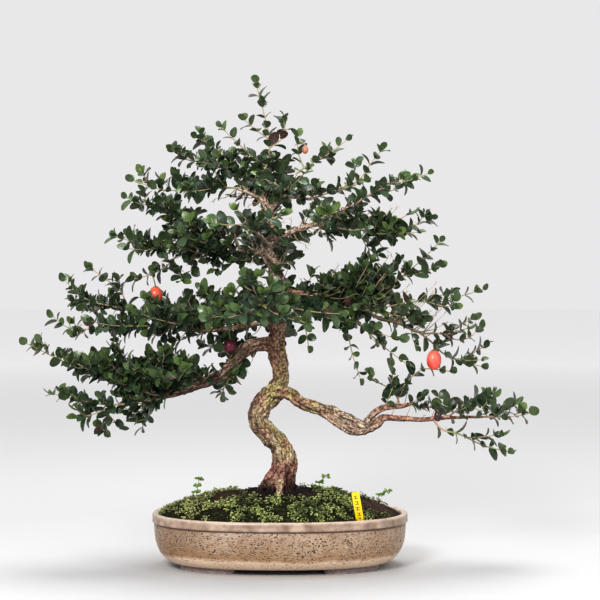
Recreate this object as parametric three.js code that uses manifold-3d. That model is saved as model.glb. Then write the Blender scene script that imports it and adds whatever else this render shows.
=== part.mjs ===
// A carissa bonsai in an oval glazed pot: a winding trunk with long low limbs, leafy stems with
// round leathery leaves, a few plum-like fruits, a mound of soil and a bare plastic plant label.
// Millimetres, +Z up. The origin is the middle of the pot, which is also the middle of the crown's
// spread, at the level that the feet stand on, and -Y is the front.
import * as THREE from 'three';
import { mergeVertices } from 'three/addons/utils/BufferGeometryUtils.js';
import Module from 'manifold-3d';

const wasm = await Module();
wasm.setup();

// Driving dimensions
const potLength = 448;
const potDepth = 302;
const potHeight = 95;
const lipHeight = 16;
const footHeight = 9;
const wall = 12;
const floorTop = 21;
const drainRadius = 13;
const drainX = 85;
const soilEdge = 89;
const soilPeak = 135;
const gap = 0.3;
const facetTolerance = 0.05;
const bladeTolerance = 0.01;
const leafLength = 19;
const leafWidth = 15;
const leafThickness = 0.8;
const stemRadius = 1.9;
const ovalSides = 36;
const ovalPower = 2.25;

const finish = (color, roughness) => new THREE.MeshStandardMaterial({ color, roughness, metalness: 0 });
const glaze = finish('#b99f80', 0.45);
const bark = finish('#8d7a5e', 0.9);
const foliage = finish('#2f5230', 0.4);
const ripeSkin = finish('#d8402a', 0.35);
const darkSkin = finish('#5a1526', 0.35);
const earth = finish('#3b2a20', 0.95);
const labelPlastic = finish('#f2cf1c', 0.5);
const meshPlastic = finish('#22262a', 0.6);
const weedLeaf = finish('#6f9c3c', 0.6);

const tree = new THREE.Group();

// Closed geometry to solid, and solid to named mesh
function solidOf(geometry) {
  geometry.deleteAttribute('normal');
  geometry.deleteAttribute('uv');
  const merged = mergeVertices(geometry, 1e-4);
  return new wasm.Manifold(new wasm.Mesh({
    numProp: 3,
    vertProperties: merged.attributes.position.array,
    triVerts: new Uint32Array(merged.index.array),
  }));
}

function addPiece(name, solid, material, tolerance = facetTolerance) {
  const { vertProperties, triVerts } = solid.asOriginal().simplify(tolerance).getMesh();
  const geometry = new THREE.BufferGeometry();
  geometry.setAttribute('position', new THREE.Float32BufferAttribute(vertProperties, 3));
  geometry.setIndex([...triVerts]);
  geometry.computeVertexNormals();
  const mesh = new THREE.Mesh(geometry, material);
  mesh.name = name;
  tree.add(mesh);
}

// Rings of points, each joined to the next, with a fan at both ends
function ringStack(rings) {
  const sides = rings[0].length;
  const points = rings.flat();
  const middle = (ring) => ring.reduce((sum, p) => sum.add(p), new THREE.Vector3()).divideScalar(sides);
  points.push(middle(rings[0]), middle(rings.at(-1)));
  const index = [];
  for (let i = 0; i < sides; i += 1) {
    const j = (i + 1) % sides;
    for (let k = 0; k + 1 < rings.length; k += 1) {
      const [a, b] = [k * sides + i, k * sides + j];
      index.push(a, b, b + sides, a, b + sides, a + sides);
    }
    const last = (rings.length - 1) * sides;
    index.push(points.length - 2, j, i, points.length - 1, last + i, last + j);
  }
  const geometry = new THREE.BufferGeometry().setFromPoints(points);
  geometry.setIndex(index);
  return solidOf(geometry);
}

// The pot: an oval shell with a standing lip, drainage holes and four feet along its edge
function ovalPoint(inset, turn, z) {
  const bend = (value) => Math.sign(value) * Math.abs(value) ** (2 / ovalPower);
  const x = (potLength / 2 - inset) * bend(Math.cos(turn));
  const y = (potDepth / 2 - inset) * bend(Math.sin(turn));
  return new THREE.Vector3(x, y, z);
}

function ovalRing(inset, z) {
  return Array.from({ length: ovalSides }, (_, i) => ovalPoint(inset, (2 * Math.PI * i) / ovalSides, z));
}

function upright(radius, x, y, bottom, top, sides = 12) {
  const geometry = new THREE.CylinderGeometry(radius, radius, top - bottom, sides);
  geometry.rotateX(Math.PI / 2);
  geometry.translate(x, y, (top + bottom) / 2);
  return solidOf(geometry);
}

const lipFoot = potHeight - lipHeight;
const potOutside = [[38, footHeight], [26, 14], [14, 26], [5.5, 48], [3.5, lipFoot - 1],
  [0, lipFoot + 2], [0, potHeight - 2], [2, potHeight]];
const wallTop = [wall + 2, potHeight - 3];
const wallLow = [wall + 9, 38];
const floorEdge = [46, floorTop];
const potInside = [[wall, potHeight], wallTop, wallLow, floorEdge];
const footInset = 42;
const footDepth = 26;

function foot(quarter) {
  const turns = [14, 27, 40, 53, 66].map((degrees) => THREE.MathUtils.degToRad(degrees));
  const arc = (inset, list) => list.map((turn) => ovalPoint(inset, turn, 0));
  const outline = [...arc(footInset, turns), ...arc(footInset + footDepth, [...turns].reverse())];
  const shape = new THREE.Shape(outline.map((p) => new THREE.Vector2(p.x, p.y)));
  const geometry = new THREE.ExtrudeGeometry(shape, { depth: footHeight + 3, bevelEnabled: false });
  geometry.rotateZ(quarter[2]);
  const block = solidOf(geometry);
  return quarter[0] * quarter[1] > 0 ? block : block.mirror([1, 0, 0]);
}

const feet = [[1, 1, 0], [1, 1, Math.PI], [1, -1, 0], [1, -1, Math.PI]].map(foot);
const potShell = ringStack([...potOutside, ...potInside].map(([inset, z]) => ovalRing(inset, z)));
const drains = [-drainX, drainX].map((x) => upright(drainRadius, x, 0, 0, floorTop + 5));
addPiece('pot', wasm.Manifold.union([potShell, ...feet]).subtract(wasm.Manifold.union(drains)), glaze);

// Wood: tubes that taper and are a little out of round, as grown wood is
const flute = 0.09;
const knob = 0.05;
const vector = ([x, y, z]) => new THREE.Vector3(x, y, z);

function route(points) {
  return new THREE.CatmullRomCurve3(points.map(vector), false, 'catmullrom', 0.5);
}

function limb(points, sides, steps, swell = 0) {
  const path = route(points);
  const { tangents, normals, binormals } = path.computeFrenetFrames(steps, false);
  const rings = [];
  for (let step = 0; step <= steps; step += 1) {
    const along = path.getUtoTmapping(step / steps) * (points.length - 1);
    const before = Math.min(Math.floor(along), points.length - 2);
    const radius = THREE.MathUtils.lerp(points[before][3], points[before + 1][3], along - before) + swell;
    const end = step === 0 ? -swell : step === steps ? swell : 0;
    const centre = path.getPointAt(step / steps).addScaledVector(tangents[step], end);
    rings.push(Array.from({ length: sides }, (_, i) => {
      const turn = (2 * Math.PI * i) / sides;
      const swelling = flute * Math.sin(3 * turn + step) + knob * Math.cos(5 * turn - 2 * step);
      const uneven = sides > 6 ? 1 + swelling : 1;
      return centre.clone()
        .addScaledVector(normals[step], radius * uneven * Math.cos(turn))
        .addScaledVector(binormals[step], radius * uneven * Math.sin(turn));
    }));
  }
  return ringStack(rings);
}

const trunkLine = [[-5, 2, 84, 22], [-5, 1, 112, 28], [-4, 0, 132, 29], [2, 2, 154, 24], [8, 4, 182, 21.5],
  [-3, 0, 212, 19], [-21, -5, 235, 19], [-39, -8, 257, 17.5], [-33, -6, 280, 18], [-14, -2, 301, 18.5],
  [1, 3, 325, 14.5], [0, 6, 347, 15], [-4, 8, 369, 16.5], [-7, 8, 391, 15.5], [0, 8, 415, 14],
  [4, 6, 440, 13], [2, 2, 485, 10.5], [-8, 0, 518, 10], [-24, -4, 553, 12], [-16, -9, 585, 8.4],
  [-20, -8, 618, 7], [-29, -6, 644, 6.2], [-32, -5, 672, 4]];

// The long limbs, as x, y, z and radius from the trunk out
const limbLines = {
  rightLow: [[-14, -2, 301, 13.5], [12, -12, 304, 12], [45, -22, 285, 11.5], [80, -28, 276, 10.5],
    [114, -33, 263, 9.2], [147, -36, 246, 9.6], [165, -36, 250, 8.4], [180, -34, 262, 6.6],
    [213, -30, 261, 5.2], [247, -26, 259, 4.2], [280, -20, 261, 3.6], [315, -15, 262, 3],
    [357, -10, 262, 2.4]],
  rightUnder: [[62, -27, 276, 6], [84, -34, 265, 6.4], [106, -39, 249, 7], [128, -41, 239, 7],
    [150, -38, 240, 6]],
  rightStrand: [[146, -34, 250, 7], [157, -30, 263, 6.6], [172, -25, 275, 6.6], [190, -20, 281, 6.2],
    [212, -12, 281, 4.6], [230, -6, 285, 2.6]],
  leftLow: [[-4, 6, 386, 13], [-21, 4, 388, 11.5], [-49, -4, 386, 10.4], [-72, -12, 369, 10.4],
    [-89, -18, 345, 10], [-115, -24, 329, 8.8], [-149, -30, 318, 7.6], [-184, -34, 306, 6.4],
    [-214, -36, 299, 5], [-240, -38, 306, 4], [-266, -38, 325, 3]],
  leftLowFork: [[-210, -36, 300, 4.2], [-235, -48, 295, 3.4], [-262, -58, 288, 2.6]],
  leftMid: [[2, 6, 432, 9], [-30, -2, 428, 6.5], [-70, -10, 420, 5.5], [-120, -14, 414, 4.6],
    [-160, -12, 414, 3.8], [-192, -10, 418, 3.2], [-210, -8, 427, 2.8], [-241, -6, 441, 2.4]],
  leftUp: [[-24, -4, 550, 8], [-50, 2, 549, 5.4], [-94, 8, 550, 4.2], [-124, 12, 551, 3.6],
    [-149, 14, 558, 3.2], [-166, 16, 551, 2.8], [-182, 16, 543, 2.4]],
  rightUp: [[-20, -6, 562, 8], [-7, -10, 572, 7], [17, -16, 584, 6], [40, -20, 592, 5.4],
    [63, -24, 598, 4.8], [110, -28, 592, 3.6], [136, -30, 592, 3], [170, -32, 588, 2.5]],
  rightUpFork: [[58, -23, 597, 4], [74, -30, 609, 3.4], [108, -38, 623, 2.9], [131, -42, 633, 2.4]],
  rightMid: [[2, 2, 481, 9], [35, 0, 478, 5.6], [73, -6, 474, 5], [114, -12, 465, 4.4], [145, -16, 450, 4],
    [175, -18, 434, 3.6], [200, -18, 429, 3.2], [231, -16, 415, 2.8], [252, -14, 408, 2.5]],
  front: [[4, 4, 452, 9], [-4, -33, 462, 6], [-14, -78, 466, 4.8], [-24, -122, 468, 3.6],
    [-34, -155, 472, 2.6]],
  backLow: [[0, 8, 408, 9], [-20, 47, 418, 6], [-50, 88, 430, 4.6], [-80, 129, 440, 3.4],
    [-100, 158, 446, 2.6]],
  backRight: [[3, 5, 445, 9], [30, 46, 455, 6], [62, 85, 462, 4.6], [96, 121, 466, 3.4],
    [120, 146, 470, 2.6]],
  backUp: [[-8, 0, 518, 8], [0, 37, 530, 5], [4, 76, 540, 4], [-4, 114, 550, 3], [-12, 139, 558, 2.4]],
  topBack: [[-16, -9, 600, 6], [-16, 28, 618, 4], [-10, 64, 634, 3], [-2, 94, 646, 2.4]],
  topFront: [[-22, -7, 560, 7], [-30, -49, 574, 4.4], [-40, -89, 584, 3.4], [-46, -115, 594, 2.6]],
  topLeft: [[-28, -6, 640, 5], [-52, -12, 652, 3.4], [-78, -18, 662, 2.6]],
  topRight: [[-21, -8, 620, 5.5], [5, -12, 644, 4], [30, -14, 645, 3.2], [54, -16, 642, 2.6]],
  crown: [[5, -12, 644, 3.2], [14, -6, 667, 2.8], [30, 0, 688, 2.2]],
};

const rootAngles = [12, 70, 128, 190, 246, 305];

function root(degrees, swell = 0) {
  const [cos, sin] = [Math.cos, Math.sin].map((f) => f(THREE.MathUtils.degToRad(degrees)));
  const reach = 44 + 6 * sin;
  const at = (share, z, radius) => [-4 + share * reach * cos, share * reach * sin, z, radius];
  return limb([at(0.2, 164, 9), at(0.5, 147, 9), at(0.8, 133, 7.5), at(1, 118, 5)], 5, 3, swell);
}

function wood(swell) {
  const limbs = Object.entries(limbLines).map(([name, line]) => {
    const thick = name === 'rightLow' || name === 'leftLow';
    return limb(line, thick ? 6 : 4, line.length + (thick ? 0 : -1), swell);
  });
  return [limb(trunkLine, 8, 25, swell), ...limbs, ...rootAngles.map((angle) => root(angle, swell))];
}

const woodParts = wood(0);
const clearWoodParts = wood(gap);
const clearWood = wasm.Manifold.union(clearWoodParts);
addPiece('trunk', wasm.Manifold.union(woodParts), bark);

// The soil: it fills the pot to just under the lip and rises to a low uneven mound
const soilInset = THREE.MathUtils.mapLinear(soilEdge, wallLow[1], wallTop[1], wallLow[0], wallTop[0]) + gap;
const soilSides = [[floorEdge[0] + gap, floorEdge[1] + gap], [wallLow[0] + gap, wallLow[1] + gap],
  [soilInset, soilEdge]];
const soilRings = 4;

function soilHeight(x, y) {
  const spread = Math.min(1, Math.hypot(x / (potLength / 2 - wall), y / (potDepth / 2 - wall)));
  const lumps = 2.2 * Math.sin(x * 0.07 + 1) * Math.cos(y * 0.09) + 1.3 * Math.sin(x * 0.19 + y * 0.16);
  return soilEdge + (soilPeak - soilEdge) * (1 - spread ** 2) ** 0.75 + lumps * (1 - spread ** 4);
}

function soilTopRing(share) {
  return ovalRing(soilInset, 0).map((p) => {
    const [x, y] = [p.x * share, p.y * share];
    return new THREE.Vector3(x, y, soilHeight(x, y));
  });
}

const topRings = Array.from({ length: soilRings }, (_, i) => soilTopRing(1 - (i + 0.6) / (soilRings + 0.6)));
const soilBody = ringStack([...soilSides.map(([inset, z]) => ovalRing(inset, z)), ...topRings]);

// Two plastic meshes lie on the pot's floor over the drainage holes
const meshRadius = drainRadius + 5;
const meshTop = floorTop + 2;

function drainMesh(x) {
  const slots = [-1, 1].flatMap((i) => [-1, 1].map((j) => {
    const slot = new THREE.BoxGeometry(7, 7, 8);
    slot.translate(x + i * 5.5, j * 5.5, floorTop);
    return solidOf(slot);
  }));
  return upright(meshRadius, x, 0, floorTop + 0.2, meshTop).subtract(wasm.Manifold.union(slots));
}

const meshRoom = [-drainX, drainX].map((x) => upright(meshRadius + 0.5, x, 0, floorTop - 1, meshTop + gap));
addPiece('drain_mesh_left', drainMesh(-drainX), meshPlastic);
addPiece('drain_mesh_right', drainMesh(drainX), meshPlastic);

// Solids that later stems and leaves keep clear of, each with the name of its node
const placed = [];

function meet(a, b) {
  return [0, 1, 2].every((k) => a.min[k] < b.max[k] && b.min[k] < a.max[k]);
}

function place(node, solid) {
  placed.push({ node, solid, box: solid.boundingBox() });
}

function isClear(solid, skips) {
  const box = solid.boundingBox();
  return placed.every((other) => (
    skips(other) || !meet(other.box, box) || solid.intersect(other.solid).isEmpty()));
}

clearWoodParts.forEach((solid) => place('trunk', solid));

// The plant label leans a little in the soil at the front right
const worldUp = new THREE.Vector3(0, 0, 1);
const labelWidth = 13.5;
const labelThickness = 1.2;

function slab(width, thickness, bottom, top) {
  const along = new THREE.Vector3().subVectors(top, bottom);
  const geometry = new THREE.BoxGeometry(width, thickness, along.length());
  const lean = new THREE.Quaternion().setFromUnitVectors(worldUp, along.normalize());
  geometry.applyQuaternion(lean);
  geometry.translate(...bottom.clone().add(top).divideScalar(2).toArray());
  return solidOf(geometry);
}

const [labelFoot, labelTop] = [vector([143, -92, 62]), vector([129, -99, 141])];
addPiece('plant_label', slab(labelWidth, labelThickness, labelFoot, labelTop), labelPlastic);
const slotFoot = labelFoot.clone().setZ(labelFoot.z - gap);
const labelRoom = slab(labelWidth + 2 * gap, labelThickness + 2 * gap, slotFoot, labelTop);

// An even scatter from 0 to 1 that depends only on the two counts that it is given
function draw(first, second) {
  const value = Math.sin(first * 127.1 + second * 311.7 + 7.3) * 43758.5453;
  return value - Math.floor(value);
}

// Leafy stems, in bunches that leave a limb together. Each line is a stem from its foot to its tip,
// as x, y and z. A bunch's first stem grows from the nearest limb and the others from the first.
const bunches = {
  low_left_tip: [
    [[-264, -38, 324], [-331, -32, 343], [-381, -26, 362], [-420, -22, 381], [-441, -20, 391]],
    [[-290, -36, 332], [-318, -8, 352], [-345, 14, 366]],
    [[-300, -36, 334], [-338, -58, 352], [-366, -72, 372]],
  ],
  low_left_under: [
    [[-260, -57, 288], [-300, -62, 288], [-348, -60, 296], [-392, -55, 306]],
    [[-285, -60, 288], [-316, -84, 274], [-346, -92, 268]],
    [[-292, -61, 288], [-300, -40, 264], [-304, -34, 240]],
  ],
  low_left_drop: [
    [[-200, -35, 302], [-215, -24, 284], [-232, -16, 266], [-240, -12, 244]],
    [[-222, -20, 277], [-250, 2, 270], [-275, 14, 268]],
  ],
  low_left_front: [
    [[-184, -34, 306], [-203, -54, 324], [-228, -72, 340], [-254, -88, 352]],
    [[-196, -48, 318], [-196, -84, 334], [-205, -112, 342]],
    [[-186, -36, 308], [-170, -72, 336], [-158, -106, 354]],
  ],
  low_left_back: [
    [[-149, -30, 318], [-165, 6, 326], [-190, 46, 336], [-218, 84, 346]],
    [[-172, 18, 329], [-210, 22, 340], [-246, 26, 352]],
    [[-185, 38, 334], [-172, 78, 330], [-160, 106, 330]],
  ],
  low_left_dark: [
    [[-80, -15, 357], [-92, 10, 372], [-110, 32, 380], [-134, 50, 386]],
    [[-96, 14, 374], [-82, 44, 378], [-70, 70, 380]],
  ],
  mid_left_tip: [
    [[-240, -6, 441], [-290, -8, 455], [-330, -6, 464], [-358, -4, 482], [-376, -2, 500]],
    [[-262, -7, 448], [-282, 12, 484], [-308, 16, 503], [-331, 18, 520]],
    [[-300, -8, 457], [-336, 16, 460], [-368, 34, 464]],
  ],
  mid_left_low: [
    [[-196, -10, 420], [-250, -24, 422], [-310, -30, 417], [-366, -30, 419], [-394, -28, 438]],
    [[-262, -26, 421], [-290, -58, 424], [-322, -80, 432]],
    [[-240, -22, 422], [-262, 8, 412], [-290, 32, 408]],
  ],
  mid_left_front: [
    [[-150, -12, 414], [-172, -46, 424], [-204, -80, 434], [-236, -104, 446]],
    [[-166, -38, 421], [-196, -50, 448], [-226, -56, 470]],
  ],
  mid_left_back: [
    [[-120, -14, 414], [-134, 24, 424], [-160, 66, 438], [-192, 102, 452]],
    [[-142, 38, 428], [-182, 44, 448], [-222, 50, 466]],
    [[-150, 52, 433], [-130, 92, 440], [-122, 124, 446]],
  ],
  mid_left_inner: [
    [[-70, -10, 420], [-84, -30, 440], [-108, -44, 462], [-134, -54, 486]],
    [[-92, -34, 446], [-92, -72, 452], [-104, -104, 460]],
  ],
  up_left_tip: [
    [[-149, 14, 558], [-190, 20, 560], [-238, 22, 562], [-289, 20, 578]],
    [[-200, 20, 560], [-232, 44, 568], [-262, 62, 580]],
    [[-205, 21, 560], [-234, -10, 554], [-262, -32, 556]],
  ],
  up_left_low: [
    [[-181, 16, 543], [-203, 14, 523], [-230, 8, 510], [-256, 2, 502]],
    [[-190, 15, 534], [-176, -12, 514], [-168, -34, 500]],
  ],
  up_left_front: [
    [[-94, 8, 550], [-112, -26, 560], [-142, -60, 570], [-174, -86, 580]],
    [[-104, -14, 556], [-136, -24, 578], [-166, -34, 598]],
  ],
  up_left_back: [
    [[-124, 12, 551], [-138, 48, 564], [-164, 84, 578], [-190, 110, 590]],
    [[-132, 34, 559], [-104, 70, 566], [-86, 100, 576]],
  ],
  up_left_rise: [
    [[-80, 6, 550], [-110, 12, 578], [-165, 18, 602], [-215, 18, 624], [-269, 14, 646]],
    [[-140, 15, 593], [-170, 44, 616], [-198, 64, 636]],
  ],
  top_left_tip: [
    [[-77, -18, 661], [-106, -20, 662], [-149, -20, 660], [-200, -18, 658], [-254, -16, 674]],
    [[-120, -20, 661], [-148, 10, 672], [-180, 30, 684]],
    [[-110, -20, 662], [-138, -54, 656], [-166, -76, 654]],
  ],
  top_left_rise: [
    [[-56, -13, 654], [-80, -6, 684], [-121, 2, 704], [-163, 6, 712], [-189, 8, 729]],
    [[-92, -4, 691], [-112, -34, 700], [-132, -58, 706]],
    [[-80, -6, 684], [-98, 14, 714], [-120, 24, 736], [-147, 28, 752]],
  ],
  apex: [
    [[-32, -5, 671], [-22, -2, 710], [-18, 0, 745], [-28, 0, 792], [-42, 0, 845]],
    [[-19, -1, 732], [6, 4, 752], [8, 6, 782]],
    [[-18, 0, 748], [-42, 14, 764], [-62, 24, 782]],
    [[-25, -3, 700], [-48, -22, 716], [-70, -34, 736], [-101, -38, 766]],
  ],
  apex_back: [
    [[-29, -6, 650], [-14, 26, 678], [4, 50, 700], [16, 72, 718]],
    [[-6, 36, 688], [-34, 58, 708], [-54, 78, 722]],
  ],
  top_right_rise: [
    [[30, 0, 688], [49, 4, 702], [85, 6, 722], [117, 8, 746]],
    [[42, 2, 697], [32, 12, 724], [30, 18, 752]],
    [[62, 5, 710], [76, 32, 716], [94, 54, 726]],
  ],
  top_right_low: [
    [[53, -16, 642], [103, -20, 660], [136, -24, 674], [158, -26, 704], [176, -26, 727]],
    [[112, -21, 664], [128, 4, 684], [134, 22, 704]],
    [[90, -19, 655], [116, -48, 662], [146, -66, 672]],
  ],
  top_right_front: [
    [[12, -13, 645], [20, -46, 662], [34, -80, 676], [48, -106, 690]],
    [[17, -36, 657], [-10, -62, 668], [-34, -82, 680]],
  ],
  up_right_long: [
    [[130, -42, 633], [156, -46, 650], [192, -50, 667], [224, -53, 674], [255, -54, 685]],
    [[150, -45, 647], [178, -24, 652], [208, -8, 662]],
    [[164, -47, 655], [184, -76, 664], [206, -98, 676]],
  ],
  up_right_tip: [
    [[169, -32, 588], [200, -34, 592], [235, -34, 597], [264, -34, 608]],
    [[182, -33, 590], [204, -10, 604], [226, 8, 618]],
    [[190, -33, 591], [214, -58, 584], [236, -76, 584]],
  ],
  up_right_front: [
    [[88, -26, 595], [100, -58, 592], [122, -92, 588], [146, -118, 590]],
    [[96, -48, 593], [84, -84, 606], [80, -112, 618]],
  ],
  up_right_back: [
    [[76, -25, 597], [90, 8, 606], [116, 46, 618], [140, 82, 630]],
    [[94, 16, 608], [128, 24, 606], [164, 34, 610]],
    [[100, 24, 611], [80, 62, 622], [72, 92, 636]],
  ],
  mid_right_rise: [
    [[130, -14, 458], [178, -4, 480], [206, 0, 502], [241, 2, 530], [280, 4, 568]],
    [[186, -2, 486], [196, 26, 512], [210, 48, 536]],
    [[214, 0, 508], [244, -22, 514], [276, -40, 526]],
    [[160, -8, 472], [168, -36, 494], [184, -56, 516]],
  ],
  mid_right_long: [
    [[186, -18, 431], [229, -10, 462], [292, -8, 469], [332, -8, 478], [354, -8, 486]],
    [[240, -10, 465], [270, 20, 470], [304, 40, 480]],
    [[252, -9, 466], [276, -36, 458], [302, -56, 456]],
  ],
  mid_right_low: [
    [[251, -14, 408], [280, -20, 408], [306, -24, 398], [330, -26, 402], [348, -28, 420]],
    [[290, -22, 405], [312, 4, 420], [338, 22, 432]],
    [[286, -21, 407], [302, -52, 412], [322, -74, 420]],
  ],
  mid_right_tip: [
    [[240, -15, 411], [266, -8, 392], [284, -4, 374], [308, -4, 362], [352, -4, 350]],
    [[312, -4, 361], [338, 14, 372], [364, 28, 386]],
    [[300, -4, 366], [322, -30, 362], [348, -48, 364]],
  ],
  mid_right_front: [
    [[145, -16, 450], [162, -50, 452], [188, -86, 458], [216, -112, 466]],
    [[168, -60, 453], [206, -66, 440], [238, -74, 430]],
  ],
  mid_right_back: [
    [[100, -10, 468], [118, 24, 486], [146, 62, 500], [176, 94, 512]],
    [[126, 36, 491], [162, 42, 486], [198, 52, 488]],
  ],
  mid_right_arch: [
    [[84, -8, 472], [124, -26, 440], [171, -34, 394], [196, -36, 374], [219, -37, 357]],
    [[110, -20, 452], [120, -34, 400], [128, -38, 366], [140, -42, 330]],
    [[140, -31, 424], [172, -58, 410], [204, -78, 402]],
  ],
  low_right_tip: [
    [[356, -10, 262], [390, -8, 262], [418, -6, 264], [437, -4, 268]],
    [[372, -9, 262], [392, 16, 270], [414, 34, 282]],
    [[362, -9, 262], [354, -34, 282], [368, -50, 300]],
  ],
  low_right_under: [
    [[264, -23, 260], [282, -32, 242], [312, -36, 234], [355, -36, 214], [396, -36, 204]],
    [[326, -36, 229], [350, -62, 232], [378, -80, 238]],
  ],
  low_right_back: [
    [[292, -18, 261], [312, 14, 272], [338, 46, 284], [366, 72, 292]],
    [[304, 2, 268], [290, 34, 280], [282, 64, 292]],
  ],
  low_right_twigs: [
    [[208, -10, 282], [200, -6, 318], [194, -2, 350]],
    [[204, -8, 300], [226, -14, 328], [252, -14, 346], [296, -12, 342]],
    [[202, -7, 308], [172, -10, 322], [158, -12, 334]],
  ],
  front_low: [
    [[-33, -153, 472], [-22, -169, 458], [6, -180, 444], [44, -186, 434]],
    [[-28, -162, 465], [-52, -178, 450], [-84, -186, 442]],
    [[-32, -157, 470], [-42, -175, 490], [-50, -189, 512]],
  ],
  front_left: [
    [[-10, -61, 465], [-46, -87, 452], [-84, -109, 444], [-116, -129, 440]],
    [[-30, -77, 457], [-66, -67, 440], [-98, -58, 426]],
  ],
  front_right: [
    [[-5, -38, 463], [28, -67, 454], [66, -98, 448], [104, -122, 446]],
    [[20, -60, 456], [42, -53, 424], [50, -56, 388]],
    [[34, -71, 453], [74, -64, 440], [112, -67, 430]],
  ],
  front_top: [
    [[-45, -113, 593], [-56, -135, 606], [-70, -153, 622]],
    [[-50, -124, 599], [-84, -133, 596], [-112, -142, 600]],
    [[-48, -119, 596], [-20, -147, 604], [6, -164, 614]],
  ],
  back_low: [
    [[-99, 156, 446], [-118, 175, 454], [-140, 190, 466]],
    [[-106, 163, 449], [-76, 184, 452], [-52, 197, 460]],
    [[-112, 169, 452], [-146, 168, 448], [-174, 163, 446]],
  ],
  back_right: [
    [[119, 144, 470], [140, 165, 476], [166, 180, 486]],
    [[128, 153, 473], [104, 177, 484], [90, 196, 496]],
    [[124, 149, 472], [160, 148, 462], [194, 143, 458]],
  ],
  back_up: [
    [[-12, 139, 558], [-24, 158, 570], [-38, 175, 586]],
    [[-17, 146, 563], [16, 165, 568], [44, 177, 576]],
    [[-13, 141, 560], [-52, 150, 554], [-88, 155, 556]],
  ],
  top_back: [
    [[-2, 93, 646], [6, 120, 660], [14, 142, 678]],
    [[0, 104, 651], [38, 122, 652], [70, 134, 658]],
    [[2, 112, 655], [-34, 132, 658], [-64, 146, 664]],
  ],
};

// The first stem of a bunch starts on the nearest limb's centre line, the others on the first stem
const limbRoutes = [trunkLine, ...Object.values(limbLines)].map(route);
const routeSteps = 90;

function nearestOn(routes, point) {
  const spots = routes.flatMap((path) => path.getSpacedPoints(routeSteps));
  return spots.reduce((best, spot) => (spot.distanceTo(point) < best.distanceTo(point) ? spot : best));
}

function shareOn(path, point) {
  const spots = path.getSpacedPoints(routeSteps);
  const distances = spots.map((spot) => spot.distanceTo(point));
  return distances.indexOf(Math.min(...distances)) / routeSteps;
}

function planStem(line, index, first) {
  const foot = nearestOn(index === 0 ? limbRoutes : [first], vector(line[0]));
  const path = route([foot.toArray(), ...line.slice(1)]);
  const thickness = index === 0 ? stemRadius : stemRadius * 0.75;
  const points = path.points.map((point) => [...point.toArray(), thickness]);
  return { path, thickness, room: limb(points, 4, line.length, 2 * gap), length: path.getLength() };
}

const stems = {};
for (const [node, lines] of Object.entries(bunches)) {
  stems[node] = [];
  lines.forEach((line, index) => {
    const stem = planStem(line, index, stems[node][0]?.path);
    stems[node].push(stem);
    placed.push({ node, stem: index, solid: stem.room, box: stem.room.boundingBox() });
  });
}

// Fruits hang on short stalks that end at a stem or a limb: centre, foot of the stalk, radius and length
const fruits = {
  fruit_coral: [[268, -26, 363], [268, -9, 392], 12.5, 36, ripeSkin],
  fruit_red: [[-217, -10, 476], [-226, 9, 511], 12.5, 30, ripeSkin],
  fruit_crimson: [[-86, -50, 388], [-90, -60, 429], 11, 26, darkSkin],
  fruit_pink: [[44, -3, 729], [32.5, 12.8, 739.6], 5.5, 15, ripeSkin],
  fruit_dark: [[274, -40, 266], [275, -21, 261], 7, 19, darkSkin],
};

function fruitSolid(centre, foot, radius, length) {
  const profile = [[0, -0.5], [0.62, -0.38], [0.96, -0.12], [0.96, 0.16], [0.58, 0.41], [0, 0.5]];
  const body = new THREE.LatheGeometry(profile.map(([r, z]) => new THREE.Vector2(r * radius, z * length)), 7);
  body.rotateX(Math.PI / 2);
  body.translate(...centre);
  const crown = [centre[0], centre[1], centre[2] + length * 0.36];
  const stalk = limb([[...crown, 1.3], [...foot.map((v, i) => (v + crown[i]) / 2), 1], [...foot, 1.1]], 4, 2);
  return solidOf(body).add(stalk);
}

const allRoom = wasm.Manifold.union([clearWood, ...Object.values(stems).flat().map((stem) => stem.room)]);
for (const [name, [centre, foot, radius, length, skin]] of Object.entries(fruits)) {
  const solid = fruitSolid(centre, foot, radius, length).subtract(allRoom);
  place(name, solid);
  addPiece(name, solid, skin);
}

// A growing skin of four-sided rings: stems and blades leave it through its own facets, so that a
// whole bunch is one closed body. A ring's corners run counterclockwise round its direction.
const skin = { points: [], index: [] };

function ring(centre, a, b, halfA, halfB) {
  return [[1, 1], [-1, 1], [-1, -1], [1, -1]].map(([i, j]) => skin.points.push(centre.clone()
    .addScaledVector(a, i * halfA).addScaledVector(b, j * halfB)) - 1);
}

function bridge(from, to) {
  const cost = (shift) => from.reduce((sum, corner, k) => (
    sum + skin.points[corner].distanceTo(skin.points[to[(k + shift) % 4]])), 0);
  const shift = [0, 1, 2, 3].reduce((best, k) => (cost(k) < cost(best) - 1e-9 ? k : best), 0);
  const turned = to.map((_, k) => to[(k + shift) % 4]);
  return { from, to: turned };
}

function fill({ from, to }, facets = [0, 1, 2, 3]) {
  facets.forEach((k) => {
    const next = (k + 1) % 4;
    skin.index.push(from[k], from[next], to[next], from[k], to[next], to[k]);
  });
}

function frameAt(path, share) {
  const along = path.getTangentAt(share);
  const overall = new THREE.Vector3().subVectors(path.points.at(-1), path.points[0]).normalize();
  const reference = Math.abs(overall.z) > 0.8 ? new THREE.Vector3(0.3, 1, 0) : worldUp;
  const level = new THREE.Vector3().crossVectors(along, reference).normalize();
  return { base: path.getPointAt(share), along, level, rise: new THREE.Vector3().crossVectors(level, along) };
}

// A leathery oval blade: it starts at a ring of the skin, is widest past its middle and ends in a point.
// A blade of a pair leans forward a little, and the one at the stem's end rises a little.
const pairLean = [0.3, 0.8];
const endLean = [1, 0.35];

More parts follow.
